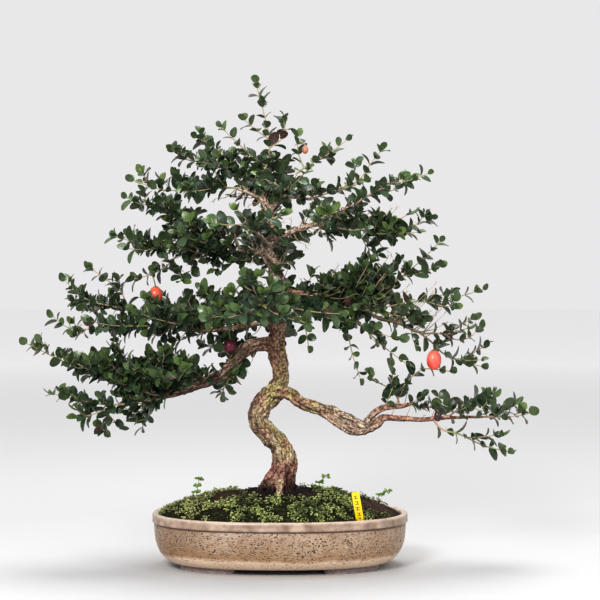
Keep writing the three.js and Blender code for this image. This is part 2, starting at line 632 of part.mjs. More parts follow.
function bladeShape({ base, along, level, rise }, side, turn, size) {
  const out = level.clone().multiplyScalar(side * Math.cos(turn)).addScaledVector(rise, Math.sin(turn));
  const [forward, aside] = side === 0 ? endLean : pairLean;
  const outward = along.clone().multiplyScalar(forward);
  outward.addScaledVector(side === 0 ? rise : out, aside).normalize();
  const face = level.clone().multiplyScalar(-side * Math.sin(turn)).addScaledVector(rise, Math.cos(turn));
  const across = new THREE.Vector3().crossVectors(outward, face).normalize();
  const up = new THREE.Vector3().crossVectors(across, outward);
  const at = (share, lift) => base.clone()
    .addScaledVector(outward, share * leafLength * size).addScaledVector(up, lift * size);
  const half = (leafWidth * size) / 2;
  const [start, low, middle] = [at(0.16, 0.4), at(0.36, 0.9), at(0.58, 0.8)];
  return { across, up, start, low, middle, high: at(0.76, 0.7), tip: at(1.02, -0.9), half };
}

function bladeRoom({ across, up, low, high, tip, start, half }) {
  const section = (centre, width) => [[1, 1], [-1, 1], [-1, -1], [1, -1]].map(([i, j]) => centre.clone()
    .addScaledVector(up, i * (leafThickness / 2 + gap)).addScaledVector(across, j * (width + gap)));
  const [wide, upper] = [section(low, half * 0.9), section(high, half * 0.88)];
  return ringStack([section(start, 1), wide, upper, section(tip, 0.2)]);
}

function fillBlade(root, { across, up, low, middle, high, tip, half }, atEnd = false) {
  const thin = leafThickness / 2;
  const section = (centre, share) => ring(centre, up, across, thin, half * share);
  const wide = atEnd ? section(middle, 0.95) : section(low, 0.94);
  const upper = atEnd ? wide : section(high, 0.9);
  const [top, under] = [thin, -thin].map((lift) => (
    skin.points.push(tip.clone().addScaledVector(up, lift)) - 1));
  fill(bridge(root, wide));
  if (!atEnd) fill({ from: wide, to: upper });
  const [a, b, c, d] = upper;
  skin.index.push(a, b, under, a, under, top, b, c, under, c, d, top, c, top, under, d, a, top);
}

const turnTries = [0, 24, -24, 48, -48].map(THREE.MathUtils.degToRad);

function clearBlade(node, stem, frame, side, turn, size) {
  for (const extra of turnTries) {
    const shape = bladeShape(frame, side, turn + extra, size);
    const solid = bladeRoom(shape);
    if (isClear(solid, (other) => other.node === node && other.stem === stem)) {
      placed.push({ node, solid, box: solid.boundingBox() });
      return shape;
    }
  }
  return null;
}

// One stem: rings along its route, closer together where a pair of leaves or a side stem leaves it.
// Pairs sit a little back from the tip, and on a long stem a second pair further back.
const budHalf = 1.2;
const bendSpacing = 62;
const longStem = 150;
const pairSetbacks = [8, 44];
const pairRoom = 5;
const bendRoom = 7;
const nearestPair = 14;
const skinShare = 0.8;

function growStem(node, index, root, bunch) {
  const { path, thickness, length, spacing = bendSpacing } = stems[node][index];
  const sideStems = index > 0 ? [] : stems[node].slice(1).map((side, i) => (
    { at: shareOn(path, side.path.points[0]) * length, stem: i + 1 }));
  const setbacks = pairSetbacks.slice(0, length > longStem ? 2 : 1);
  const free = setbacks.map((back, pair) => ({ at: length - back, pair })).filter(({ at }) => (
    at > nearestPair && sideStems.every((side) => Math.abs(side.at - at) > pairRoom)));
  const cuts = [...sideStems, ...free].sort((a, b) => a.at - b.at);
  const bends = Array.from({ length: Math.round(length / spacing) }, (_, i) => (i + 1) * spacing * 0.9);
  const plain = bends.filter((at) => (
    at < length - pairSetbacks[0] && cuts.every((cut) => Math.abs(cut.at - at) > bendRoom)));
  const stops = [...cuts, ...plain.map((at) => ({ at, bend: true }))].sort((a, b) => a.at - b.at);
  const ringAt = (at) => {
    const share = THREE.MathUtils.clamp(at / length, 0, 1);
    const { base, level, rise } = frameAt(path, share);
    const half = skinShare * THREE.MathUtils.lerp(thickness, 1, share);
    return ring(base, rise, level, half, half);
  };
  let current = root ?? ringAt(0);
  if (!root) skin.index.push(current[0], current[2], current[1], current[0], current[3], current[2]);
  const reach = (at, facets) => {
    const span = bridge(current, ringAt(at));
    fill(span, facets);
    current = span.to;
    return span;
  };
  for (const stop of stops) {
    if (stop.bend) {
      reach(stop.at);
    } else {
      reach(stop.at - budHalf);
      const span = reach(stop.at + budHalf, []);
      growFromFacets(node, index, stop, span, bunch);
    }
  }
  const frame = frameAt(path, 1);
  const shape = clearBlade(node, index, frame, 0, 0.3 * draw(bunch, index), 0.95);
  reach(length);
  if (shape) fillBlade(current, shape, true);
  else skin.index.push(current[0], current[1], current[2], current[0], current[2], current[3]);
}

function growFromFacets(node, index, stop, span, bunch) {
  const { path, length } = stems[node][index];
  const frame = frameAt(path, stop.at / length);
  const facet = (k) => [span.from[k], span.from[(k + 1) % 4], span.to[(k + 1) % 4], span.to[k]];
  const outwardOf = (k) => facet(k).reduce((sum, corner) => sum.add(skin.points[corner]), new THREE.Vector3())
    .divideScalar(4).sub(frame.base).normalize();
  const facing = (direction) => [0, 1, 2, 3].reduce((best, k) => (
    outwardOf(k).dot(direction) > outwardOf(best).dot(direction) ? k : best), 0);
  const used = [];
  if (stop.stem !== undefined) {
    const heading = stems[node][stop.stem].path.getTangentAt(0);
    used.push(facing(heading));
    growStem(node, stop.stem, facet(used[0]), bunch);
  } else {
    for (const side of [-1, 1]) {
      const chance = draw(bunch * 7 + index, stop.pair * 2 + side);
      const turn = (stop.pair % 2 ? 0.15 : 0.45) + 0.5 * chance;
      const shape = clearBlade(node, index, frame, side, turn, 0.85 + 0.4 * chance);
      if (shape) {
        const k = facing(frame.level.clone().multiplyScalar(side));
        used.push(k);
        fillBlade(facet(k), shape);
      }
    }
  }
  fill(span, [0, 1, 2, 3].filter((k) => !used.includes(k)));
}

function skinSolid() {
  const geometry = new THREE.BufferGeometry().setFromPoints(skin.points);
  geometry.setIndex(skin.index);
  return solidOf(geometry);
}

Object.keys(stems).forEach((node, bunch) => {
  skin.points = [];
  skin.index = [];
  growStem(node, 0, null, bunch);
  const pieces = skinSolid().subtract(clearWood).decompose();
  addPiece(node, pieces.sort((a, b) => b.volume() - a.volume())[0], foliage, bladeTolerance);
});

// Three seedlings stand in plain holes in the soil: foot, bend and tip of each
const seedlings = {
  weed_left: [[-142, -62], [-143, -61, 134], [-140, -57, 158]],
  weed_back: [[70, 74], [71, 73, 138], [80, 68, 148]],
  weed_right: [[174, 44], [176, 44, 117], [190, 47, 124]],
};
const weedDepth = 14;
const weedRadius = 1.3;
const weedSpacing = 11;

const weedHoles = Object.entries(seedlings).map(([node, [[x, y], bend, tip]], number) => {
  const ground = soilHeight(x, y);
  skin.points = [];
  skin.index = [];
  const path = route([[x, y, ground - weedDepth], [x, y, ground - 4], [x, y, ground + 5], bend, tip]);
  stems[node] = [{ path, thickness: weedRadius, length: path.getLength(), spacing: weedSpacing }];
  growStem(node, 0, null, number + 50);
  addPiece(node, skinSolid(), weedLeaf);
  return upright(weedRadius + 0.6, x, y, ground - weedDepth - gap, ground + 12, 6);
});

const soilCuts = wasm.Manifold.union([clearWood, labelRoom, ...meshRoom, ...weedHoles]);
addPiece('soil', soilBody.subtract(soilCuts), earth);

export default tree;
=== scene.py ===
# A carissa bonsai in an oval glazed pot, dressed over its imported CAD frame. Metres, +Z up, -Y in front.
import math

import bmesh
import bpy
import numpy as np
from mathutils import Matrix, Vector, noise
from mathutils.kdtree import KDTree


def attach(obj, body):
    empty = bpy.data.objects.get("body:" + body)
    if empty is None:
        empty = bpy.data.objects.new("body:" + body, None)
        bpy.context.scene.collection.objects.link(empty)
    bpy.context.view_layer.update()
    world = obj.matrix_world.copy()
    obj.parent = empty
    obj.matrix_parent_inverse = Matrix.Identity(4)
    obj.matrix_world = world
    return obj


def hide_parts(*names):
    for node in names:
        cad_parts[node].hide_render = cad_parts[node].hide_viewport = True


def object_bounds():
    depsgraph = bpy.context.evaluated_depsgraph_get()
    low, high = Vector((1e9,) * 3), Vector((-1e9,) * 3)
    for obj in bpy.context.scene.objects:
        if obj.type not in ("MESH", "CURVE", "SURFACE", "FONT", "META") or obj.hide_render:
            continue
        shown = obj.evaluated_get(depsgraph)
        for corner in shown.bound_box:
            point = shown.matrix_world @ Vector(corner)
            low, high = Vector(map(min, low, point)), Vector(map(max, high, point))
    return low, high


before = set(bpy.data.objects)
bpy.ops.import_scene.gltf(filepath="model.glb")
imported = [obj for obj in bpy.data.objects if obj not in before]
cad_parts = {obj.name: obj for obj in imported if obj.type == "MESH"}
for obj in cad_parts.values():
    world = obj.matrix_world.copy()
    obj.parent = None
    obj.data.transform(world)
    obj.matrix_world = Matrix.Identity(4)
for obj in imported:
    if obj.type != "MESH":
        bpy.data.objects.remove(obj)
cad_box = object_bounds()
mm = 0.001

# The view: a long lens at the level of the crown, a little to the right of the trunk. A pale floor
# runs back to a pale room, and big soft lamps stand at the left front, overhead and at the right.
camera_place, camera_dip = (0.035, -3.5, 0.564), 1.6
lens_long, film_wide = 120, 36
floor_radius, floor_near, floor_far = 14, 0.8, 6


def placed(name, data, place=(0, 0, 0)):
    """An object in the scene that carries a camera, a lamp or a mesh."""
    made = bpy.data.objects.new(name, data)
    made.location = place
    bpy.context.collection.objects.link(made)
    return made


camera = placed("camera", bpy.data.cameras.new("camera"), camera_place)
camera.rotation_euler = (math.radians(90 - camera_dip), 0, 0)
camera.data.lens = lens_long
camera.data.sensor_width = film_wide
bpy.context.scene.camera = camera
bpy.context.scene.view_settings.view_transform = "Standard"
bpy.context.scene.view_settings.exposure = 0.36
bpy.context.scene.view_settings.gamma = 0.8

room = bpy.data.worlds.new("room")
room.use_nodes = True
room_light = room.node_tree.nodes["Background"].inputs
room_light["Color"].default_value = (0.78, 0.77, 0.78, 1)
room_light["Strength"].default_value = 0.85
bpy.context.scene.world = room


def soft_lamp(name, place, aim, size, power):
    lamp = bpy.data.lights.new(name, "AREA")
    lamp.shape = "DISK"
    lamp.size = size
    lamp.energy = power
    stand = placed(name, lamp, place)
    stand.rotation_mode = "QUATERNION"
    stand.rotation_quaternion = (Vector(aim) - Vector(place)).to_track_quat("-Z", "Y")


soft_lamp("lamp_left", (-1.0, -3.0, 2.0), (0, 0, 0.45), 1.0, 78)
soft_lamp("lamp_right", (2.2, -2.2, 1.4), (0, 0, 0.4), 1.2, 18)
soft_lamp("lamp_over", (0.2, 0.4, 2.7), (0, 0, 0.3), 1.4, 44)


def mesh_of(shape, name):
    """The finished shape as a mesh."""
    mesh = bpy.data.meshes.new(name)
    shape.to_mesh(mesh)
    shape.free()
    return mesh


class Paint:
    """The nodes of one material, each made and linked in a line."""

    def __init__(self, name, roughness, specular=0.5):
        self.made = bpy.data.materials.new(name)
        self.made.use_nodes = True
        self.tree = self.made.node_tree
        self.shader = self.tree.nodes["Principled BSDF"]
        self.shader.inputs["Roughness"].default_value = roughness
        self.shader.inputs["Specular IOR Level"].default_value = specular
        self.place = self.node("TexCoord", "Object")
        self.color = None

    def feed(self, socket, value):
        """Links the socket to a node's output, or sets it to a number or a colour."""
        if isinstance(value, bpy.types.NodeSocket):
            self.tree.links.new(value, socket)
        else:
            socket.default_value = (*value, 1) if socket.type == "RGBA" else value

    def node(self, kind, output=0, **values):
        """An output of a new node. in_ and a name or number sets an input, other names a setting."""
        made = self.tree.nodes.new("ShaderNode" + kind)
        for key, value in values.items():
            if key.startswith("in_"):
                self.feed(made.inputs[int(key[3:]) if key[3:].isdigit() else key[3:]], value)
            else:
                setattr(made, key, value)
        return made.outputs[output]

    def attribute(self, name, output="Fac"):
        return self.node("Attribute", output, attribute_name=name)

    def axis(self, letter):
        return self.node("SeparateXYZ", letter, in_Vector=self.place)

    def stretched(self, scale):
        return self.node("Mapping", in_Vector=self.place, in_Scale=scale)

    def far_from_middle(self, place):
        return self.node("VectorMath", "Value", operation="LENGTH", in_0=place)

    def grain(self, size, detail=3, at=None, roughness=0.55):
        """Soft noise whose lumps are about size across, in metres."""
        return self.node("TexNoise", "Fac", in_Vector=at or self.place, in_Scale=0.6 / size, in_Detail=detail,
                         in_Roughness=roughness)

    def cells(self, size, at=None):
        """Distance from the middle of cells about size across, in metres."""
        return self.node("TexVoronoi", "Distance", in_Vector=at or self.place, in_Scale=1 / size)

    def level(self, value, low, high, out_low=0.0, out_high=1.0):
        return self.node("MapRange", in_Value=value, in_1=low, in_2=high, in_3=out_low, in_4=out_high)

    def blotches(self, size, detail, low, high, most=1.0):
        """Soft patches about size across, from 0 between them to most on them."""
        return self.level(self.grain(size, detail), low, high, 0, most)

    def mix(self, share, first, second):
        return self.node("Mix", 2, data_type="RGBA", in_0=share, in_6=first, in_7=second)

    def coat(self, share, color):
        """Lays a colour over the ones that are there."""
        self.color = self.mix(share, self.color, color)

    def math(self, operation, first, second=0.0):
        return self.node("Math", operation=operation, in_0=first, in_1=second)

    def times(self, first, second):
        return self.math("MULTIPLY", first, second)

    def plus(self, first, second):
        return self.math("ADD", first, second)

    def wear(self, bump=None, depth=0.0, roughness=None):
        """The finished material, with a bump depth in metres."""
        self.feed(self.shader.inputs["Base Color"], self.color)
        if roughness is not None:
            self.feed(self.shader.inputs["Roughness"], roughness)
        if bump is not None:
            normal = self.node("Bump", in_Height=bump, in_Distance=depth, in_Strength=1.0)
            self.feed(self.shader.inputs["Normal"], normal)
        return self.made


floor_shape = bmesh.new()
bmesh.ops.create_circle(floor_shape, cap_ends=True, segments=64, radius=floor_radius)
floor_mesh = mesh_of(floor_shape, "floor")
floor = Paint("floor_paint", 0.9, 0.1)
# Painted shading: the floor is painted darker near the middle, where the lamps light it most, and paler far
# off, where only the room lights it, so that it fades into the room.
floor.color = floor.level(floor.far_from_middle(floor.place), floor_near, floor_far, 0.52, 0.97)
floor_mesh.materials.append(floor.wear())
placed("floor", floor_mesh)

# The pot: an oval of thrown and pressed stoneware with a standing lip, in a buff glaze that pitted in
# the kiln and ran to a cream band over the foot. Four bare curved feet and two drainage holes, each
# with a plastic mesh over it that keeps the soil in. The profile gives inset and height, in mm.
pot_length, pot_depth, oval_power = 448, 302, 2.25
pot_profile = [(120, 9), (38, 9), (33, 10.2), (26, 14), (19, 20), (14, 26), (9, 36.5), (5.5, 48), (4, 62),
               (3.4, 73), (3.9, 76.2), (4.1, 77.6), (3.2, 78.4), (1.3, 78.9), (0.2, 80.3), (0, 82), (0.5, 84),
               (0.9, 86), (0.7, 88), (0.2, 90), (0.4, 92), (1.5, 94), (3.4, 95), (6.5, 95.2), (9.6, 94.6),
               (11.4, 93), (12.2, 90.5), (14, 70), (21, 38), (30, 28), (46, 21), (120, 21)]
drain_x, drain_radius = 85, 13
foot_inset, foot_half, foot_high = 55, 13, 13
foot_turn, foot_spread, foot_flare, foot_cuts = 40, 26, 1.5, 11


def oval_point(inset, turn, height):
    """A point of the pot's oval, at an inset and height in mm."""
    def bend(value):
        return math.copysign(abs(value) ** (2 / oval_power), value)
    x = (pot_length / 2 - inset) * bend(math.cos(turn))
    y = (pot_depth / 2 - inset) * bend(math.sin(turn))
    return Vector((x * mm, y * mm, height * mm))


def oval_shell(sides, profile, place):
    """A tube of rings, one for each pair in the profile, closed at both ends and set in its place."""
    shape = bmesh.new()
    ring = bmesh.ops.create_circle(shape, segments=sides, radius=1)["verts"]
    edges = list({edge for v in ring for edge in v.link_edges})
    for _ in profile[1:]:
        grown = bmesh.ops.extrude_edge_only(shape, edges=edges)["geom"]
        edges = [item for item in grown if isinstance(item, bmesh.types.BMEdge) and item.is_boundary]
        verts = [item for item in grown if isinstance(item, bmesh.types.BMVert)]
        bmesh.ops.translate(shape, verts=verts, vec=(0, 0, 1))
    bmesh.ops.holes_fill(shape, edges=shape.edges, sides=0)
    for v in shape.verts:
        v.co = place(profile[round(v.co.z)], math.atan2(v.co.y, v.co.x))
    bmesh.ops.recalc_face_normals(shape, faces=shape.faces)
    return shape


def settle(name, shape, paints, slot, *nodes, smooth=40):
    """The finished shape as a piece that stands on the tree's one body."""
    mesh = mesh_of(shape, name) if isinstance(shape, bmesh.types.BMesh) else shape
    mesh.name = name
    for paint in paints:
        mesh.materials.append(paint)
    mesh.shade_smooth()
    if smooth:
        mesh.set_sharp_from_angle(angle=math.radians(smooth))
    piece = placed(name, mesh)
    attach(piece, "root")
    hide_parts(*nodes)


def worked(carrier):
    """The mesh that an object's curve or modifiers make. The object goes."""
    made = bpy.data.meshes.new_from_object(carrier.evaluated_get(bpy.context.evaluated_depsgraph_get()))
    bpy.data.objects.remove(carrier)
    return made


def shaped_by(mesh, kind, **settings):
    """A copy of the mesh with one modifier worked into it."""
    carrier = placed("carrier", mesh)
    modifier = carrier.modifiers.new("shaping", kind)
    for key, value in settings.items():
        setattr(modifier, key, value)
    return worked(carrier)


pot_shape = oval_shell(144, pot_profile, lambda pair, turn: oval_point(pair[0], turn, pair[1]))
for side_x, side_y in ((1, 1), (-1, 1), (-1, -1), (1, -1)):
    block = bmesh.ops.create_cube(pot_shape, size=2)["verts"]
    longways = {e for v in block for e in v.link_edges if abs(e.verts[0].co.x - e.verts[1].co.x) > 1}
    bmesh.ops.subdivide_edges(pot_shape, edges=list(longways), cuts=foot_cuts, use_grid_fill=True)
    pot_shape.verts.ensure_lookup_table()
    for v in pot_shape.verts[-(8 + 4 * foot_cuts):]:
        along, deep, up = v.co
        half = foot_half * math.sqrt(max(0.12, 1 - abs(along) ** 7))
        inset = foot_inset - half * deep - (foot_flare if up < 0 else 0)
        point = oval_point(inset, math.radians(foot_turn + foot_spread * along), foot_high / 2 * (1 + up))
        v.co = (side_x * point.x, side_y * point.y, point.z)
bmesh.ops.recalc_face_normals(pot_shape, faces=pot_shape.faces)
drain_shape = bmesh.new()
for x in (-drain_x, drain_x):
    bmesh.ops.create_cone(drain_shape, cap_ends=True, segments=32, radius1=drain_radius * mm,
                          radius2=drain_radius * mm, depth=0.05, matrix=Matrix.Translation((x * mm, 0, 0.01)))
drains = placed("drains", mesh_of(drain_shape, "drains"))
pot_mesh = shaped_by(mesh_of(pot_shape, "pot_walls"), "BOOLEAN", object=drains, operation="DIFFERENCE",
                     solver="EXACT", use_self=True)
bpy.data.objects.remove(drains)

glaze = Paint("pitted_glaze", 0.42, 0.45)
z = glaze.axis("Z")
z_wavy = glaze.plus(z, glaze.plus(glaze.times(glaze.grain(0.03, 3), 0.012), -0.006))
glaze.color = glaze.mix(glaze.blotches(0.045, 4, 0.35, 0.65), (0.345, 0.240, 0.165), (0.48, 0.370, 0.285))
# Painted shade: the glaze is darkened towards the left end of the pot, where its side falls in shade.
glaze.coat(glaze.level(glaze.axis("X"), -0.08, -0.19, 0, 0.7), (0.25, 0.155, 0.10))
glaze.coat(glaze.blotches(0.005, 4, 0.42, 0.68, 0.65), (0.23, 0.14, 0.085))
ripple = glaze.grain(0.0045, 3, glaze.stretched((1, 1, 2.6)))
golden = glaze.times(glaze.level(z_wavy, 0.068, 0.044), glaze.level(ripple, 0.4, 0.62))
glaze.coat(glaze.times(golden, 0.65), (0.36, 0.22, 0.09))
cream = glaze.mix(glaze.blotches(0.01, 3, 0.4, 0.7, 0.5), (0.84, 0.66, 0.50), (0.66, 0.48, 0.33))
glaze.coat(glaze.level(z_wavy, 0.031, 0.025), cream)
rust = glaze.times(glaze.level(z_wavy, 0.024, 0.031), glaze.level(z_wavy, 0.042, 0.033))
glaze.coat(glaze.times(rust, 0.4), (0.44, 0.235, 0.11))
lip = glaze.mix(glaze.blotches(0.016, 5, 0.38, 0.66), (0.47, 0.36, 0.285), (0.225, 0.16, 0.12))
# Partly painted highlight: the top edge of the lip is painted pale, where the glaze also thins.
lip = glaze.mix(glaze.level(z, 0.0915, 0.0945, 0, 0.6), lip, (0.72, 0.60, 0.49))
lip = glaze.mix(glaze.blotches(0.006, 4, 0.56, 0.70, 0.6), lip, (0.27, 0.17, 0.10))
glaze.coat(glaze.level(z, 0.0778, 0.0790), lip)
# Painted shade: a dark band in the recess under the lip.
under_lip_shade = glaze.times(glaze.level(z, 0.0745, 0.0772), glaze.level(z, 0.0808, 0.0788))
glaze.coat(glaze.times(under_lip_shade, 0.8), (0.115, 0.062, 0.036))
frayed = glaze.node("TexNoise", "Color", in_Vector=glaze.place, in_Scale=190, in_Detail=2)
frayed = glaze.node("VectorMath", operation="MULTIPLY_ADD", in_0=frayed, in_1=(0.005, 0.005, 0.004),
                    in_2=glaze.stretched((0.8, 0.8, 1.15)))
crater = glaze.cells(0.0068, frayed)
deep = glaze.times(glaze.level(crater, 0.29, 0.20), glaze.level(glaze.grain(0.022, 2), 0.38, 0.52, 0.25, 1))
fine_pits = glaze.times(glaze.level(glaze.cells(0.0040, frayed), 0.31, 0.21), 0.85)
pitted = glaze.times(glaze.level(z_wavy, 0.018, 0.036, 0.3, 1), glaze.level(z, 0.079, 0.074))
# Partly painted highlight: pale rings round the craters stand for light on their raised rims, as well as the
# glaze paling there.
rim = glaze.times(glaze.level(crater, 0.42, 0.28), pitted)
glaze.coat(glaze.times(rim, 0.3), (0.72, 0.58, 0.44))
pits = glaze.times(glaze.math("MAXIMUM", deep, fine_pits), pitted)
glaze.coat(pits, (0.105, 0.055, 0.028))
bare_clay = glaze.mix(glaze.blotches(0.004, 3, 0.4, 0.7), (0.30, 0.235, 0.215), (0.19, 0.145, 0.13))
glaze.coat(glaze.level(z, 0.0098, 0.0088), bare_clay)
crawl = glaze.times(glaze.times(ripple, pitted), 1.6)
relief = glaze.math("SUBTRACT", glaze.plus(crawl, glaze.times(glaze.grain(0.004, 2), 0.3)), pits)
pot_paint = glaze.wear(relief, 0.0011, glaze.plus(glaze.times(pits, 0.35), 0.30))
settle("oval_pot", pot_mesh, [pot_paint], "glazed_stoneware", "pot")


def two_toned(name, roughness, lump, first, second):
    """A paint that drifts between two colours in lumps of a size in metres."""
    paint = Paint(name, roughness)
    paint.color = paint.mix(paint.grain(lump, 2), first, second)
    return paint


for side in ("left", "right"):
    net = two_toned("drain_mesh_" + side, 0.55, 0.002, (0.012, 0.014, 0.016), (0.035, 0.035, 0.03))
    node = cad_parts["drain_mesh_" + side]
    node.data.materials.clear()
    node.data.materials.append(net.wear(net.grain(0.001, 2), 0.0002))

# The trunk and its long limbs: one old grown piece. The trunk winds up out of a flare of roots, its
# bark in long plates and cords, olive with lichen on the old wood and pinkish tan near the top.
# Each point of a line gives x, y, z and radius, in millimetres.
trunk_line = [[-5, 2, 84, 22], [-5, 1, 112, 28], [-4, 0, 132, 29], [2, 2, 154, 24], [8, 4, 182, 21.5],
              [-3, 0, 212, 19], [-21, -5, 235, 19], [-39, -8, 257, 17.5], [-33, -6, 280, 18],
              [-14, -2, 301, 18.5], [1, 3, 325, 14.5], [0, 6, 347, 15], [-4, 8, 369, 16.5],
              [-7, 8, 391, 15.5], [0, 8, 415, 14], [4, 6, 440, 13], [2, 2, 485, 10.5], [-8, 0, 518, 10],
              [-24, -4, 553, 12], [-16, -9, 585, 8.4], [-20, -8, 618, 7], [-29, -6, 644, 6.2],
              [-32, -5, 672, 4]]

limb_lines = {
    "rightLow": [[-14, -2, 301, 13.5], [12, -12, 304, 12], [45, -22, 285, 11.5], [80, -28, 276, 10.5],
        [114, -33, 263, 9.2], [147, -36, 246, 9.6], [165, -36, 250, 8.4], [180, -34, 262, 6.6],
        [213, -30, 261, 5.2], [247, -26, 259, 4.2], [280, -20, 261, 3.6], [315, -15, 262, 3],
        [357, -10, 262, 2.4]],
    "rightUnder": [[62, -27, 276, 6], [84, -34, 265, 6.4], [106, -39, 249, 7], [128, -41, 239, 7],
        [150, -38, 240, 6]],
    "rightStrand": [[146, -34, 250, 7], [157, -30, 263, 6.6], [172, -25, 275, 6.6], [190, -20, 281, 6.2],
        [212, -12, 281, 4.6], [230, -6, 285, 2.6]],
    "leftLow": [[-4, 6, 386, 13], [-21, 4, 388, 11.5], [-49, -4, 386, 10.4], [-72, -12, 369, 10.4],
        [-89, -18, 345, 10], [-115, -24, 329, 8.8], [-149, -30, 318, 7.6], [-184, -34, 306, 6.4],
        [-214, -36, 299, 5], [-240, -38, 306, 4], [-266, -38, 325, 3]],
    "leftLowFork": [[-210, -36, 300, 4.2], [-235, -48, 295, 3.4], [-262, -58, 288, 2.6]],
    "leftMid": [[2, 6, 432, 9], [-30, -2, 428, 6.5], [-70, -10, 420, 5.5], [-120, -14, 414, 4.6],
        [-160, -12, 414, 3.8], [-192, -10, 418, 3.2], [-210, -8, 427, 2.8], [-241, -6, 441, 2.4]],
    "leftUp": [[-24, -4, 550, 8], [-50, 2, 549, 5.4], [-94, 8, 550, 4.2], [-124, 12, 551, 3.6],
        [-149, 14, 558, 3.2], [-166, 16, 551, 2.8], [-182, 16, 543, 2.4]],
    "rightUp": [[-20, -6, 562, 8], [-7, -10, 572, 7], [17, -16, 584, 6], [40, -20, 592, 5.4],
        [63, -24, 598, 4.8], [110, -28, 592, 3.6], [136, -30, 592, 3], [170, -32, 588, 2.5]],
    "rightUpFork": [[58, -23, 597, 4], [74, -30, 609, 3.4], [108, -38, 623, 2.9], [131, -42, 633, 2.4]],
    "rightMid": [[2, 2, 481, 9], [35, 0, 478, 5.6], [73, -6, 474, 5], [114, -12, 465, 4.4],
        [145, -16, 450, 4], [175, -18, 434, 3.6], [200, -18, 429, 3.2], [231, -16, 415, 2.8],
        [252, -14, 408, 2.5]],
    "front": [[4, 4, 452, 9], [-4, -33, 462, 6], [-14, -78, 466, 4.8], [-24, -122, 468, 3.6],
        [-34, -155, 472, 2.6]],
    "backLow": [[0, 8, 408, 9], [-20, 47, 418, 6], [-50, 88, 430, 4.6], [-80, 129, 440, 3.4],
        [-100, 158, 446, 2.6]],
    "backRight": [[3, 5, 445, 9], [30, 46, 455, 6], [62, 85, 462, 4.6], [96, 121, 466, 3.4],
        [120, 146, 470, 2.6]],
    "backUp": [[-8, 0, 518, 8], [0, 37, 530, 5], [4, 76, 540, 4], [-4, 114, 550, 3], [-12, 139, 558, 2.4]],
    "topBack": [[-16, -9, 600, 6], [-16, 28, 618, 4], [-10, 64, 634, 3], [-2, 94, 646, 2.4]],
    "topFront": [[-22, -7, 560, 7], [-30, -49, 574, 4.4], [-40, -89, 584, 3.4], [-46, -115, 594, 2.6]],
    "topLeft": [[-28, -6, 640, 5], [-52, -12, 652, 3.4], [-78, -18, 662, 2.6]],
    "topRight": [[-21, -8, 620, 5.5], [5, -12, 644, 4], [30, -14, 645, 3.2], [54, -16, 642, 2.6]],
    "crown": [[5, -12, 644, 3.2], [14, -6, 667, 2.8], [30, 0, 688, 2.2]],
}
old_limbs = ("rightLow", "leftLow", "rightUnder", "rightStrand")
root_turns = [12, 41, 70, 98, 128, 160, 190, 218, 246, 276, 305, 338]
root_line = [(0.2, 168, 8), (0.42, 152, 8.5), (0.62, 140, 7.5), (0.82, 130, 6.5), (1, 117, 4.5)]
front_root = [[5, -14, 184, 5], [5, -25, 168, 6.5], [2, -33, 150, 7], [-2, -42, 134, 6], [-5, -50, 118, 5]]
cord_step, bark_step, wood_voxel = 0.004, 0.003, 0.00157
lump_high, crack_deep, split_deep, cleft_deep = 1.5, 1.5, 0.7, 5
bark_full = 12


class Route:
    """A smooth line through points, walked by its length."""

    def __init__(self, points):
        self.points = [Vector(p[:3]) * mm for p in points]
        self.radii = [p[3] if len(p) > 3 else 0 for p in points]
        self.shares = [k / 200 for k in range(201)]
        walked = [self.spot(share) for share in self.shares]
        steps = [0] + [(b - a).length for a, b in zip(walked, walked[1:])]
        self.walked = np.cumsum(steps)
        self.length = float(self.walked[-1])

    def spot(self, share):
        p = self.points
        along = share * (len(p) - 1)
        k = min(int(along), len(p) - 2)
        t = along - k
        before = p[k - 1] if k else 2 * p[0] - p[1]
        after = p[k + 2] if k + 2 < len(p) else 2 * p[-1] - p[-2]
        lead, trail = 0.5 * (p[k + 1] - before), 0.5 * (after - p[k])
        gap = p[k + 1] - p[k]
        return p[k] + t * lead + t * t * (3 * gap - 2 * lead - trail) + t ** 3 * (lead + trail - 2 * gap)

    def share_at(self, walk):
        return float(np.interp(walk, self.walked, self.shares))

    def at(self, walk):
        return self.spot(self.share_at(walk))

    def heading(self, walk):
        low, high = max(0, walk - 0.0015), min(self.length, walk + 0.0015)
        return (self.at(high) - self.at(low)).normalized()

    def radius(self, walk):
        along = self.share_at(walk) * (len(self.points) - 1)
        return float(np.interp(along, range(len(self.points)), self.radii))

    def walks(self, count):
        """Even steps along the whole line."""
        return [self.length * k / count for k in range(count + 1)]

    def rod(self, count, thick, thin):
        """Points and radii of a rod that tapers from the foot to the tip."""
        taper = (thin - thick) / count
        return [(self.at(walk), thick + taper * k) for k, walk in enumerate(self.walks(count))]


def tubes(name, lines, sides=3):
    """Round rods along lines of (point, radius in mm), as one mesh."""
    drawn = bpy.data.curves.new(name, "CURVE")
    drawn.dimensions = "3D"
    drawn.bevel_depth = mm
    drawn.bevel_resolution = sides
    drawn.use_fill_caps = True
    for line in lines:
        spline = drawn.splines.new("POLY")
        spline.points.add(len(line) - 1)
        for point, (place, radius) in zip(spline.points, line):
            point.co = (*place, 1)
            point.radius = radius
    made = worked(placed(name, drawn))
    bpy.data.curves.remove(drawn)
    return made


def rough(x, y, z):
    """Soft lumps from -1 to 1, about one unit across."""
    return noise.noise(Vector((x, y, z)))


def framed(route, walks):
    """The heading at each walk, with a side that turns no more than the line does."""
    heading = route.heading(0)
    side = heading.orthogonal().normalized()
    for walk in walks:
        now = route.heading(walk)
        side = (heading.rotation_difference(now) @ side).normalized()
        heading = now
        yield walk, heading, side


def cord_walks(route):
    return route.walks(max(6, int(route.length / cord_step)))


def core(route, share):
    """A line down the middle of a limb, with a share of its radius."""
    return [(route.at(walk), route.radius(walk) * share) for walk in cord_walks(route)]


